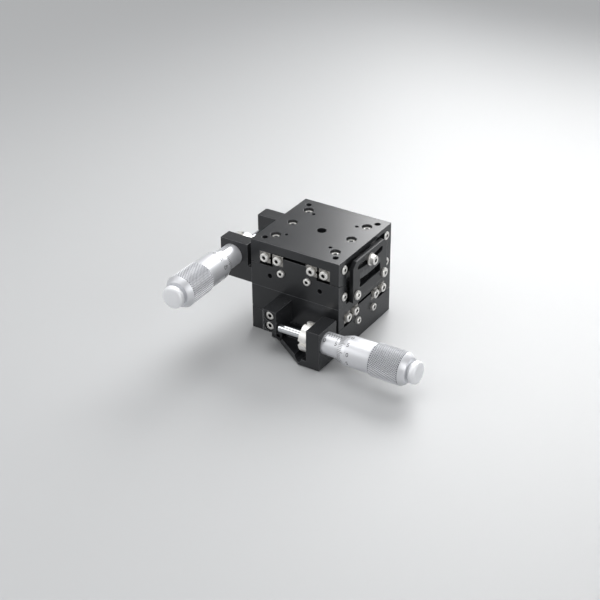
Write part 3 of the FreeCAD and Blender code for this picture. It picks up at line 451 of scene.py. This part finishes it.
@dataclass
class Skin:
    """Gathers points and faces in millimetres and makes one mesh object of them."""

    points: list[Vector] = field(default_factory=list)
    faces: list[tuple[int, ...]] = field(default_factory=list)
    second: set[int] = field(default_factory=set)

    def ring(self, ring: Ring) -> list[int]:
        """Adds a ring of points and returns their indices."""
        start = len(self.points)
        self.points += ring
        return list(range(start, start + len(ring)))

    def bridge(self, low: list[int], high: list[int]) -> None:
        """Joins two rings of the same count, or a ring and a single point, by faces."""
        count = max(len(low), len(high))
        for i in range(count):
            j = (i + 1) % count
            if len(low) == 1:
                self.faces.append((low[0], high[j], high[i]))
            elif len(high) == 1:
                self.faces.append((low[i], low[j], high[0]))
            else:
                self.faces.append((low[i], low[j], high[j], high[i]))

    def stack(self, rings: Sequence[Ring], last: int = 0) -> None:
        """Adds rings in order and joins each to the one before.

        Args:
            rings: The rings.
            last: How many of the last bands get the second finish.
        """
        before: list[int] | None = None
        for place, ring in enumerate(rings):
            now = self.ring(ring)
            count = len(self.faces)
            if before is not None:
                self.bridge(before, now)
            if place >= len(rings) - last:
                self.second.update(range(count, len(self.faces)))
            before = now

    def piece(
        self,
        name: str,
        finish: MetalFinish,
        body: str,
        smooth_under: float = 32.0,
        second: MetalFinish | None = None,
    ) -> bpy.types.Object:
        """Makes the object, gives it its finish and lets it ride on a body.

        Args:
            name: The piece's name.
            finish: The finish of all its faces.
            body: The CAD body that it moves with.
            smooth_under: Edges flatter than this many degrees are shaded smooth.
            second: The finish of the faces that were marked for it.

        Returns:
            The new object.
        """
        mesh = bpy.data.meshes.new(name)
        mesh.from_pydata([p * MM for p in self.points], [], self.faces)
        slots = [int(i in self.second) for i in range(len(self.faces))]
        mesh.polygons.foreach_set("material_index", slots)
        mesh.validate()
        mesh.polygons.foreach_set("use_smooth", [smooth_under > 0] * len(mesh.polygons))
        if smooth_under > 0:
            mesh.set_sharp_from_angle(angle=math.radians(smooth_under))
        mesh.materials.append(finish.material())
        if second:
            mesh.materials.append(second.material())
        made = bpy.data.objects.new(name, mesh)
        bpy.context.scene.collection.objects.link(made)
        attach(made, body)
        LOG.info("%s: %d faces", name, len(mesh.polygons))
        return made


@dataclass(frozen=True)
class Line:
    """An axis in space: a start, the way it runs and the direction of its zero angle."""

    start: Vector
    along: Vector
    zero: Vector

    def at(self, reach: float, radius: float, angle: float) -> Vector:
        """A point by its distance along the axis, its radius and its angle in radians."""
        side = self.along.cross(self.zero)
        spoke = self.zero * math.cos(angle) + side * math.sin(angle)
        return self.start + self.along * reach + spoke * radius

    def ring(self, reach: float, radius: float | Callable[[float], float], count: int) -> Ring:
        """A ring round the axis; a radius of zero gives one point."""
        if radius == 0:
            return [self.at(reach, 0.0, 0.0)]
        turns = [2 * math.pi * i / count for i in range(count)]
        return [self.at(reach, radius(a) if callable(radius) else radius, a) for a in turns]

    def turned(self, profile: Pairs, count: int = 96) -> list[Ring]:
        """The rings of a turned part, from pairs of reach and radius."""
        return [self.ring(reach, radius, count) for reach, radius in profile]


def rounded(
    reach: float, radius: float, start: float, end: float, blend: float, steps: int = 4
) -> list[tuple[float, float]]:
    """Points of a small corner round on a turned profile.

    Args:
        reach: Place of the round's centre along the axis.
        radius: Distance of the round's centre from the axis.
        start: First angle in degrees, where 0 is along the axis and 90 is outwards.
        end: Last angle in degrees.
        blend: Radius of the round.
        steps: Number of steps in it.

    Returns:
        Pairs of reach and radius.
    """
    turns = [math.radians(start + (end - start) * i / steps) for i in range(steps + 1)]
    return [(reach + blend * math.cos(a), radius + blend * math.sin(a)) for a in turns]


def moved(reach: float, radius: float, pairs: Pairs) -> list[tuple[float, float]]:
    """Points of a turned profile, moved to where their pairs start from."""
    return [(reach + along, radius + out) for along, out in pairs]


def solids_of(node: str) -> list[tuple[Vector, Vector]]:
    """The lowest and highest corner of each separate solid of a CAD node, in millimetres."""
    mesh = frame["nodes"][node].data
    owner: dict[tuple[int, ...], tuple[int, ...]] = {}

    def root(key: tuple[int, ...]) -> tuple[int, ...]:
        """The key that stands for a whole solid."""
        while owner[key] != key:
            owner[key] = owner[owner[key]]
            key = owner[key]
        return key

    keys = [tuple(round(c * MICROMETRES_IN_METRE) for c in v.co) for v in mesh.vertices]
    for key in keys:
        owner.setdefault(key, key)
    for edge in mesh.edges:
        one, other = (root(keys[i]) for i in edge.vertices)
        owner[one] = other
    boxes: dict[tuple[int, ...], list[Vector]] = {}
    for key in owner:
        boxes.setdefault(root(key), []).append(Vector(key) / MICROMETRES_IN_MM)
    found = []
    for spots in boxes.values():
        low = Vector(min(p[i] for p in spots) for i in range(3))
        high = Vector(max(p[i] for p in spots) for i in range(3))
        found.append((low, high))
    return sorted(found, key=lambda b: tuple(b[0]))


def body_of(node: str) -> str:
    """The CAD body that a node rides on."""
    return frame["nodes"][node]["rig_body"]


@dataclass
class SocketScrews:
    """A set of socket screws: chamfered heads with a hexagon socket, drawn over their solids.

    A set may look more than one way: each screw then looks out of the side that it sits on.

    Attributes:
        node: The CAD node that the set stands for.
        ways: The ways in which its heads look.
        head: Height of the head.
        key: Size of its key.
        finish: The finish outside the sockets.
        chamfer: Width of the chamfer round the top of the head.
        shank: Radius of the shank.
        knurled: Whether the head's side is knurled.
        sunk: How far the drawn head stays under the top of its solid.
        count: Points in each ring.
        shank_break: Chamfer at the end of the shank.
        head_break: Chamfer under the head.
        smooth_low: Where the knurling starts above the seat.
        smooth_high: Where it ends under the chamfer.
        rim_depth: Depth of the knurling.
        crown: Shares of the chamfer where its slope changes, down and inwards.
        lead: Width of the chamfer at the socket's mouth.
        lead_depth: Its depth.
        socket_share: Depth of the socket as a share of the head.
        least_socket: The least depth of the socket.
        drill_share: Depth of the drill point as a share of the key.
        socket_bands: How many of the last bands are inside the socket and get its painted shade.
        turn: How many degrees each socket is turned from the one before.
    """

    node: str
    ways: tuple[Way, ...]
    head: float
    key: float
    finish: MetalFinish = NICKEL
    chamfer: float = 0.28
    shank: float = 1.0
    knurled: bool = False
    sunk: float = 0.0
    count: int = 48
    shank_break: float = 0.25
    head_break: float = 0.08
    smooth_low: float = 0.14
    smooth_high: float = 0.04
    rim_depth: float = 0.07
    crown: tuple[float, float] = (0.3, 0.45)
    lead: float = 0.08
    lead_depth: float = 0.12
    socket_share: float = 0.6
    least_socket: float = 0.7
    drill_share: float = 0.2
    socket_bands: int = 2
    turn: int = 23

    def hexagon(self, lean: float, size: float) -> Callable[[float], float]:
        """The outline of a hexagon socket as a radius for each angle."""

        def radius(angle: float) -> float:
            """Distance from the middle to the flat at this angle."""
            return size / 2 / math.cos((angle - lean) % (math.pi / 3) - math.pi / 6)

        return radius

    def rim(self, radius: float) -> float | Callable[[float], float]:
        """The head's side: plain, or with fine straight knurling."""
        if not self.knurled:
            return radius
        step = 2 * math.pi / self.count
        return lambda angle: radius - self.rim_depth * (round(angle / step) % 2)

    def depth(self) -> float:
        """Depth of the hexagon socket."""
        return max(self.least_socket, self.head * self.socket_share)

    def rings(self, low: Vector, high: Vector, number: int) -> list[Ring]:
        """The rings of one screw, from its foot to the bottom of its socket.

        Args:
            low: The lowest corner of its solid.
            high: The highest corner of its solid.
            number: Its place in the set, which turns its socket.

        Returns:
            The rings in order.
        """
        middle = (low + high) / 2
        out = max((Vector(way.value) for way in self.ways), key=middle.dot)
        across = [i for i in range(3) if abs(out[i]) < 0.5]
        zero = Vector([1.0 if i == across[0] else 0.0 for i in range(3)])
        radius = max((high[i] - low[i]) / 2 for i in across)
        length = abs((high - low).dot(out))
        line = Line(middle - out * (length / 2), out, zero)
        lean = math.radians(self.turn * number % HEXAGON_TURN)
        seat = length - self.head
        length -= self.sunk
        cut = self.chamfer
        low_crown, in_crown = (cut * share for share in self.crown)
        side = self.rim(radius)
        key = self.hexagon(lean, self.key)
        lead = self.hexagon(lean, self.key + 2 * self.lead)
        drilled = self.depth() + self.key * self.drill_share
        bands = [
            (0, 0),
            (0, self.shank - self.shank_break),
            (self.shank_break, self.shank),
            (seat, self.shank),
            (seat, radius - self.head_break),
            (seat + self.head_break, radius),
            (seat + self.smooth_low, side),
            (length - cut - self.smooth_high, side),
            (length - cut, radius),
            (length - low_crown, radius - in_crown),
            (length, radius - cut),
            (length, lead),
            (length - self.lead_depth, key),
            (length - self.depth(), key),
            (length - drilled, 0),
        ]
        return [line.ring(reach, wide, self.count) for reach, wide in bands]

    def build(self) -> bpy.types.Object:
        """Draws every screw of the node as one piece that stands for it."""
        skin = Skin()
        for number, (low, high) in enumerate(solids_of(self.node)):
            skin.stack(self.rings(low, high, number), self.socket_bands)
        body = body_of(self.node)
        # The socket bands get painted shade.
        made = skin.piece(self.node + "_detail", self.finish, body, second=SOCKET_PAINTED_SHADE)
        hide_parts(self.node)
        return made


@dataclass
class Micrometer:
    """A micrometer head: engraved sleeve, thimble with a diamond knurl, knob and spindle.

    Reaches are measured from the holder's outer face, to where the knob looks. A break is a
    narrow chamfer, and a way is the hole that another piece runs in. The sizes of the turned
    forms come first, and then those of the marks: long, short and half marks, and where their
    figures stand. A turn is the first and last angle of a rounded corner, in degrees.
    """

    unit: Unit
    looks: Way
    chrome: MetalFinish
    knurled: MetalFinish
    sleeve_radius: float = 4.5
    stem: float = -9.5
    sleeve_end: float = 24.0
    sleeve_break: float = 0.3
    spindle_way: float = 1.85
    nut_radius: float = 3.1
    nut_start: float = 5.0
    thimble_start: float = 7.4
    bevel_front: float = 4.95
    bevel_length: float = 3.4
    barrel: float = 6.0
    bore: float = 4.65
    knurl_start: float = 21.6
    knurl_end: float = 34.0
    knurl_radius: float = 6.7
    diamonds: int = 46
    knurl_depth: float = 0.4
    thimble_end: float = 36.4
    end_radius: float = 5.1
    end_round: float = 0.25
    end_turn: tuple[float, float] = (60, 0)
    stem_way: float = 1.55
    stem_way_depth: float = 2.6
    core_start: float = 15.8
    core_end: float = 33.0
    core_radius: float = 3.0
    core_break: float = 0.2
    bore_break: float = 0.1
    bore_lip: float = 0.08
    knob_start: float = 36.5
    knob_end: float = 40.3
    knob_radius: float = 4.5
    rim_reach: float = 1.6
    rim_round: float = 0.5
    rim_turn: tuple[float, float] = (150, 90)
    dome_reach: float = 1.35
    dome_round: float = 1.2
    dome_turn: tuple[float, float] = (90, 22)
    dome_steps: int = 8
    knob_stem: float = 33.9
    knob_stem_radius: float = 1.45
    spindle_radius: float = 1.75
    spindle_tip: float = -21.44
    spindle_end: float = 15.7
    spindle_points: int = 64
    knurl_smooth: float = 26.0
    spindle_smooth: float = 40.0
    travel: float = 13.0
    line_start: float = 0.05
    scale_start: float = 0.9
    scale_tail: float = 0.4
    sleeve_marks: tuple[float, float, float] = (2.1, 1.3, 1.1)
    sleeve_figures: tuple[float, float] = (0.35, 3.4)
    thimble_marks: tuple[float, float] = (2.9, 1.9)
    thimble_figures: float = 0.35
    bevel_lift: float = 0.02
    divisions: int = 50
    figured: int = 5
    mark_width: float = 0.16
    figure: float = 1.7
    strip_step: float = 0.06

    def line(self) -> Line:
        """The head's axis, with its zero angle straight up."""
        start, along, up = self.knurled.axis_start, self.looks.value, Way.UP.value
        return Line(Vector(start), Vector(along), Vector(up))

    def node(self, short: str) -> str:
        """The CAD node of this head by its short name."""
        return f"{self.unit.value}_{short}"

    def strip(
        self,
        skin: Skin,
        reach: tuple[float, float],
        angle: tuple[float, float],
        radius: tuple[float, float],
    ) -> None:
        """Adds an engraved line as a thin strip wrapped on the surface.

        Args:
            skin: The mesh under way.
            reach: Its ends along the axis.
            angle: Its sides in radians.
            radius: The surface's radius at the two ends.
        """
        line = self.line()
        steps = max(1, math.ceil(abs(angle[1] - angle[0]) / self.strip_step))
        before: list[int] | None = None
        for i in range(steps + 1):
            turn = angle[0] + (angle[1] - angle[0]) * i / steps
            pair = [line.at(reach[k], radius[k] + PROUD, turn) for k in (0, 1)]
            now = skin.ring(pair)
            if before:
                skin.faces.append((before[0], before[1], now[1], now[0]))
            before = now

    def digits(
        self, skin: Skin, text: str, reach: float, angle: float, size: float, radius: float
    ) -> None:
        """Adds a number wrapped on the surface, upright when the knob is on the right.

        Args:
            skin: The mesh under way.
            text: The plain number.
            reach: Its left edge along the axis.
            angle: Its middle height, in radians.
            size: Height of the figures.
            radius: The surface's radius there.
        """
        line = self.line()
        points, faces = figure_mesh(text, size)
        tall = max(p[1] for p in points)
        start = len(skin.points)
        for x, y in points:
            turn = angle - (y - tall / 2) / radius
            skin.points.append(line.at(reach + x, radius + PROUD, turn))
        skin.faces += [tuple(start + i for i in face) for face in faces]

    def sleeve(self) -> None:
        """The sleeve with its stem, and the scale engraved on its top."""
        line = self.line()
        r = self.sleeve_radius
        skin = Skin()
        edge, way, nut, end = self.sleeve_break, self.spindle_way, self.nut_radius, self.sleeve_end
        profile = [(self.stem, way), (self.stem, r - edge), (self.stem + edge, r)]
        profile += [(end - edge, r), (end, r - edge), (end, nut)]
        profile += [(self.nut_start, nut), (self.nut_start, way), (self.stem, way)]
        skin.stack(line.turned(profile))
        made = skin.piece(self.node("sleeve_turned"), self.chrome, body_of(self.node("base")))
        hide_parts(self.node("micrometer_sleeve"))
        marks = Skin()
        half = self.mark_width / 2
        tall, short, under = (length / r for length in self.sleeve_marks)
        back, above = self.sleeve_figures
        end = self.scale_start + self.travel + self.scale_tail
        self.strip(marks, (self.line_start, end), (-half / r, half / r), (r, r))
        for i in range(int(self.travel) + 1):
            reach = self.scale_start + i
            high = short if i % self.figured else tall
            self.strip(marks, (reach - half, reach + half), (0.0, high), (r, r))
            if i < self.travel:
                low = reach + 0.5
                self.strip(marks, (low - half, low + half), (-under, 0.0), (r, r))
            if i % self.figured == 0:
                self.digits(marks, str(i), reach - back, above / r, self.figure, r)
        marks.piece(self.node("sleeve_scale"), BLACK_ENAMEL, body_of(self.node("base")), 0.0)

    def knurl(self, skin: Skin) -> None:
        """Diamond knurling: a net of points whose peaks and crossings alternate."""
        line = self.line()
        around = 2 * self.diamonds
        pitch = 2 * math.pi * self.knurl_radius / self.diamonds
        length = self.knurl_end - self.knurl_start
        rows = 2 * round(length / pitch)
        before = len(skin.faces)
        net: list[list[int]] = []
        for j in range(rows + 1):
            reach = self.knurl_start + length * j / rows
            edge = j in (0, rows)
            ring = []
            for i in range(around):
                deep = (i + j) % 2 == 1 or edge
                radius = self.knurl_radius - (self.knurl_depth if deep else 0.0)
                ring.append(line.at(reach, radius, math.pi * 2 * i / around))
            net.append(skin.ring(ring))
        for j in range(rows):
            for i in range(around):
                k = (i + 1) % around
                a, b, c, d = net[j][i], net[j][k], net[j + 1][k], net[j + 1][i]
                if (i + j) % 2 == 0:
                    skin.faces += [(a, b, d), (b, c, d)]
                else:
                    skin.faces += [(a, b, c), (a, c, d)]
        skin.second.update(range(before, len(skin.faces)))

    def thimble(self) -> None:
        """The thimble: bevelled front, smooth barrel, knurled grip and coned end."""
        line = self.line()
        skin = Skin()
        back = self.thimble_start + self.bevel_length
        deep = self.knurl_radius - self.knurl_depth
        start, end, grip = self.thimble_start, self.thimble_end, self.knurl_radius
        front = [(self.core_end, self.bore), (start + self.bore_break, self.bore)]
        front += [(start, self.bore + self.bore_lip), (start, self.bevel_front)]
        front += moved(back, self.barrel, BEVEL_BACK)
        front += moved(self.knurl_start, self.barrel, RELIEF)
        front += [(self.knurl_start, deep)]
        skin.stack(line.turned(front, 2 * self.diamonds))
        self.knurl(skin)
        soft = self.end_round
        rear = [(self.knurl_end, deep)] + moved(self.knurl_end, grip, KNURL_BACK)
        rear += moved(end, self.end_radius, CONE_END)
        rear += rounded(end - soft, self.end_radius - soft, *self.end_turn, soft)
        hole = end - self.stem_way_depth
        rear += [(end, self.stem_way), (hole, self.stem_way), (hole, 0)]
        skin.stack(line.turned(rear, 2 * self.diamonds))
        inner = self.core_radius
        core = [(self.core_start, 0), (self.core_start, inner - self.core_break)]
        core += [(self.core_start + self.core_break, inner), (self.core_end, inner)]
        core += [(self.core_end, self.bore)]
        skin.stack(line.turned(core, 2 * self.diamonds))
        body = body_of(self.node("thimble"))
        name = self.node("thimble_knurled")
        made = skin.piece(name, self.chrome, body, self.knurl_smooth, self.knurled)
        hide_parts(self.node("thimble"))
        marks = Skin()
        run, face = self.bevel_length, self.bevel_front
        for i in range(self.divisions):
            angle = 2 * math.pi * i / self.divisions
            tall = self.thimble_marks[i % self.figured > 0] / run
            radii = (face + self.bevel_lift, face + (self.barrel - face) * tall)
            half = self.mark_width / 2 / face
            reach = (start + self.bore_break, start + run * tall)
            self.strip(marks, reach, (angle - half, angle + half), radii)
            if i % self.figured == 0:
                place = start + run + self.thimble_figures
                self.digits(marks, str(i), place, angle, self.figure, self.barrel)
        marks.piece(self.node("thimble_scale"), BLACK_ENAMEL, body, 0.0)

    def knob(self) -> None:
        """The ratchet knob: a waisted mushroom with a softly domed face."""
        r = self.knob_radius
        start, end, stem = self.knob_start, self.knob_end, self.knob_stem_radius
        profile = [(self.knob_stem, 0), (self.knob_stem, stem), (start, stem)]
        profile += moved(start, 0.0, KNOB_WAIST)
        rim, dome = self.rim_round, self.dome_round
        profile += rounded(start + self.rim_reach, r - rim, *self.rim_turn, rim)
        profile += rounded(end - self.dome_reach, r - dome, *self.dome_turn, dome, self.dome_steps)
        profile += moved(end, 0.0, KNOB_DOME)
        skin = Skin()
        skin.stack(self.line().turned(profile))
        # The knob's whiter finish is partly painted light.
        made = skin.piece(
            self.node("ratchet_knob_turned"), BLASTED_CHROME_WITH_PAINTED_LIGHT, body_of(self.node("ratchet_knob"))
        )
        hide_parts(self.node("ratchet_knob"))

    def spindle(self) -> None:
        """The lapped spindle with its domed tip."""
        r = self.spindle_radius
        tip = self.spindle_tip
        profile = moved(tip, 0.0, SPINDLE_NOSE) + moved(tip, r, SPINDLE_DOME)
        profile += [(self.spindle_end, r), (self.spindle_end, 0)]
        skin = Skin()
        skin.stack(self.line().turned(profile, self.spindle_points))
        name, body = self.node("spindle_lapped"), body_of(self.node("spindle"))
        made = skin.piece(name, BEARING_STEEL, body, self.spindle_smooth)
        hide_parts(self.node("spindle"))

    def build(self) -> None:
        """Draws the whole head."""
        self.sleeve()
        self.thimble()
        self.knob()
        self.spindle()


def figure_mesh(text: str, size: float) -> tuple[list[tuple[float, float]], list[tuple[int, ...]]]:
    """A flat mesh of plain figures in millimetres, from the lower left corner.

    Args:
        text: The figures.
        size: Their height.

    Returns:
        Points as pairs, and faces.
    """
    curve = bpy.data.curves.new("figures", type="FONT")
    curve.body = text
    curve.size = size * FONT_SCALE
    curve.resolution_u = FONT_STEPS
    holder = bpy.data.objects.new("figures", curve)
    bpy.context.scene.collection.objects.link(holder)
    bpy.context.view_layer.update()
    seen = holder.evaluated_get(bpy.context.evaluated_depsgraph_get())
    mesh = bpy.data.meshes.new_from_object(seen)
    left = min(v.co.x for v in mesh.vertices)
    low = min(v.co.y for v in mesh.vertices)
    points = [(v.co.x - left, v.co.y - low) for v in mesh.vertices]
    faces = [tuple(p.vertices) for p in mesh.polygons]
    bpy.data.objects.remove(holder)
    bpy.data.meshes.remove(mesh)
    bpy.data.curves.remove(curve)
    return points, faces


@dataclass
class TiltUnit:
    """One unit: its solids' finishes, its screws, its micrometer and its angle scale."""

    unit: Unit
    mover: str
    ends: tuple[Way, Way]
    clamp_side: Way
    push_side: Way
    rail_finish: MetalFinish
    head: Micrometer
    lift: float
    centre: float = 90.0
    plate_face: float = 22.2
    window_arc: float = 8.2
    window_gap: float = 0.3
    degrees: int = 7
    marks: tuple[float, float] = (3.0, 2.2)
    long_every: int = 5
    mark_width: float = 0.2

    def node(self, short: str) -> str:
        """A CAD node of this unit by its short name."""
        return f"{self.unit.value}_{short}"

    def dress(self) -> None:
        """Gives the solids that stay as they are their finishes."""
        finishes = {
            "base": ANODISED,
            self.mover: ANODISED,
            "micrometer_holder": ANODISED,
            "contact_block": ANODISED,
            "clamp_plate": ANODISED_PLATE,
            "inner_rails": self.rail_finish,
            "outer_rails": self.rail_finish,
            "roller_cages": CAGE_BRASS,
            "crossed_rollers": BEARING_STEEL,
            "spring_pin_base": BEARING_STEEL,
            "spring_pin_stage": BEARING_STEEL,
            "return_spring": SPRING_WIRE,
            "lock_nut": NICKEL,
            "clamp_washer": NICKEL,
        }
        for short, finish in finishes.items():
            solid = frame["nodes"][self.node(short)]
            solid.data.materials.clear()
            solid.data.materials.append(finish.material())

    def screws(self) -> None:
        """Draws every set of screws."""
        node, side, push, ends = self.node, (self.clamp_side,), (self.push_side,), self.ends
        sets = [
            SocketScrews(node("outer_rail_screws"), (Way.UP,), **CAP_SCREW, sunk=0.45),
            SocketScrews(node("inner_rail_screws"), (Way.DOWN,), **CAP_SCREW),
            SocketScrews(node("base_side_screws"), side, **SIDE_SCREW),
            SocketScrews(node("stage_side_screws"), side, **SIDE_SCREW, sunk=0.06),
            SocketScrews(node("clamp_plate_screws"), side, **PLATE_SCREW),
            SocketScrews(node("clamp_screw"), side, **CAP_SCREW),
            SocketScrews(node("contact_block_screws"), push, **CAP_SCREW),
            # The holder screws are black oxide, partly as painted shade: the dark finish matches
            # the shade under the spindle.
            SocketScrews(node("holder_screws"), push, **CAP_SCREW, finish=BLACK_OXIDE),
            SocketScrews(node("outer_rail_end_screws"), ends, **END_SCREW),
            SocketScrews(node("inner_rail_end_screws"), ends, **END_SCREW),
            SocketScrews(node("stop_screws"), ends, **STOP_SCREW),
        ]
        for screws in sets:
            screws.build()

    def scale_line(self, spot: float, low: float, high: float) -> Ring:
        """Four corners of a radial mark on the clamp plate's face.

        Args:
            spot: The mark's angle in degrees about the tilt axis.
            low: Distance of its lower end from the tilt axis.
            high: Distance of its upper end.

        Returns:
            The corners in order.
        """
        out, up = Vector(self.clamp_side.value), Vector(Way.UP.value)
        across = up.cross(out)
        turn = math.radians(spot)
        down = across * math.sin(turn) - up * math.cos(turn)
        side = (across * math.cos(turn) + up * math.sin(turn)) * (self.mark_width / 2)
        middle = out * (self.plate_face + PROUD) + up * self.centre
        spots = [(low, -1), (low, 1), (high, 1), (high, -1)]
        return [middle + down * reach + side * sign for reach, sign in spots]

    def scale(self) -> None:
        """The degree marks on the clamp plate, over its window."""
        foot = self.centre - self.lift - self.window_arc - self.window_gap
        skin = Skin()
        for degree in range(-self.degrees, self.degrees + 1):
            top = foot - self.marks[degree % self.long_every > 0]
            mark = self.scale_line(degree, foot, top)
            skin.faces.append(tuple(skin.ring(mark)))
        name = self.node("clamp_plate_scale")
        skin.piece(name, GREY_ENAMEL, body_of(self.node("clamp_plate")), 0.0)

    def build(self) -> None:
        """Dresses the whole unit."""
        self.dress()
        self.screws()
        self.head.build()
        self.scale()


@dataclass
class Studio:
    """Pale floor, soft lights and the camera at the photograph's angle."""

    floor_tone: str = "#b3b4b5"
    world_tone: str = "#cbcccd"
    world_strength: float = 0.6
    azimuth: float = 31.7
    elevation: float = 30.0
    distance: float = 576.0
    focus: float = 1445.8
    image: float = 600.0
    middle: tuple[float, float] = (321.7, 274.7)
    sensor: float = 36.0
    near_and_far: tuple[float, float] = (0.01, 60.0)
    object_middle: float = 20.0
    floor_reach: float = 12.0
    floor_roughness: float = 0.5

    def floor(self) -> None:
        """A wide plain floor that isn't part of the object."""
        reach = self.floor_reach
        mesh = bpy.data.meshes.new("floor")
        corners = [(-reach, -reach, 0), (reach, -reach, 0), (reach, reach, 0), (-reach, reach, 0)]
        mesh.from_pydata(corners, [], [(0, 1, 2, 3)])
        made = bpy.data.materials.new("matt_floor_paper")
        made.use_nodes = True
        shader = made.node_tree.nodes["Principled BSDF"]
        shader.inputs["Base Color"].default_value = linear(self.floor_tone)
        shader.inputs["Roughness"].default_value = self.floor_roughness
        mesh.materials.append(made)
        floor = bpy.data.objects.new("floor", mesh)
        bpy.context.scene.collection.objects.link(floor)

    def world(self) -> None:
        """An even pale surround."""
        world = bpy.data.worlds.new("studio")
        world.use_nodes = True
        sky = world.node_tree.nodes["Background"]
        sky.inputs["Color"].default_value = linear(self.world_tone)
        sky.inputs["Strength"].default_value = self.world_strength
        bpy.context.scene.world = world

    def softbox(
        self,
        name: str,
        place: Point,
        size: tuple[float, float],
        power: float,
        spread: float = 180.0,
    ) -> None:
        """A rectangular soft light that faces the object.

        Args:
            name: Its name.
            place: Where it stands, in metres.
            size: Its width and height in metres.
            power: Its power in watts.
            spread: The angle in degrees that its light fills.
        """
        lamp = bpy.data.lights.new(name, "AREA")
        lamp.shape = "RECTANGLE"
        lamp.size, lamp.size_y = size
        lamp.energy = power
        lamp.spread = math.radians(spread)
        made = bpy.data.objects.new(name, lamp)
        made.location = place
        made.rotation_mode = "QUATERNION"
        aim = Vector((0.0, 0.0, self.object_middle * MM)) - Vector(place)
        made.rotation_quaternion = aim.to_track_quat("-Z", "Y")
        made.visible_camera = False
        bpy.context.scene.collection.objects.link(made)

    def camera(self) -> None:
        """The camera, fitted to the block's corners in the photograph."""
        turn, tip = math.radians(self.azimuth), math.radians(self.elevation)
        level = math.cos(tip)
        back = Vector((math.sin(turn) * level, -math.cos(turn) * level, math.sin(tip)))
        data = bpy.data.cameras.new("camera")
        data.sensor_width = self.sensor
        data.lens = self.focus / self.image * self.sensor
        data.shift_x = -(self.middle[0] / self.image - 0.5)
        data.shift_y = self.middle[1] / self.image - 0.5
        data.clip_start, data.clip_end = self.near_and_far
        made = bpy.data.objects.new("camera", data)
        made.location = (Vector((0, 0, self.object_middle)) + back * self.distance) * MM
        made.rotation_mode = "QUATERNION"
        made.rotation_quaternion = (-back).to_track_quat("-Z", "Y")
        bpy.context.scene.collection.objects.link(made)
        bpy.context.scene.camera = made

    def build(self) -> None:
        """Sets up the whole studio."""
        self.floor()
        self.world()
        self.softbox("overhead_soft_light", (-0.2, 0.1, 1.1), size=(1.0, 0.8), power=6.8)
        place = (-0.045, 0.38, 0.245)
        self.softbox("rear_sheen_light", place, size=(0.3, 0.3), power=0.48, spread=70.0)
        self.softbox("front_left_soft_light", (-0.9, -0.8, 0.6), size=(0.9, 0.9), power=5.5)
        self.softbox("right_soft_light", (0.85, -0.3, 0.45), size=(0.6, 0.6), power=2.9)
        self.camera()


def main() -> None:
    """Dresses both units, draws the joining screws and sets up the studio."""
    logging.basicConfig(level=logging.INFO, format="%(name)s %(message)s")
    bpy.context.scene.view_settings.view_transform = "Standard"
    lower = TiltUnit(
        Unit.LOWER,
        mover="carriage",
        ends=(Way.RIGHT, Way.LEFT),
        clamp_side=Way.BACK,
        push_side=Way.FRONT,
        rail_finish=GROUND_RAIL_X,
        head=Micrometer(Unit.LOWER, Way.RIGHT, SATIN_CHROME_X, KNURLED_CHROME_X),
        lift=0.0,
    )
    upper = TiltUnit(
        Unit.UPPER,
        mover="stage_plate",
        ends=(Way.FRONT, Way.BACK),
        clamp_side=Way.RIGHT,
        push_side=Way.LEFT,
        rail_finish=GROUND_RAIL_Y,
        head=Micrometer(Unit.UPPER, Way.FRONT, SATIN_CHROME_Y, KNURLED_CHROME_Y),
        lift=20.0,
    )
    lower.build()
    upper.build()
    node = "lower_unit_joining_screws"
    joining = SocketScrews(node, (Way.DOWN,), **JOINING_SCREW)
    joining.build()
    Studio().build()
    bpy.context.view_layer.update()


if __name__ == "__main__":
    main()
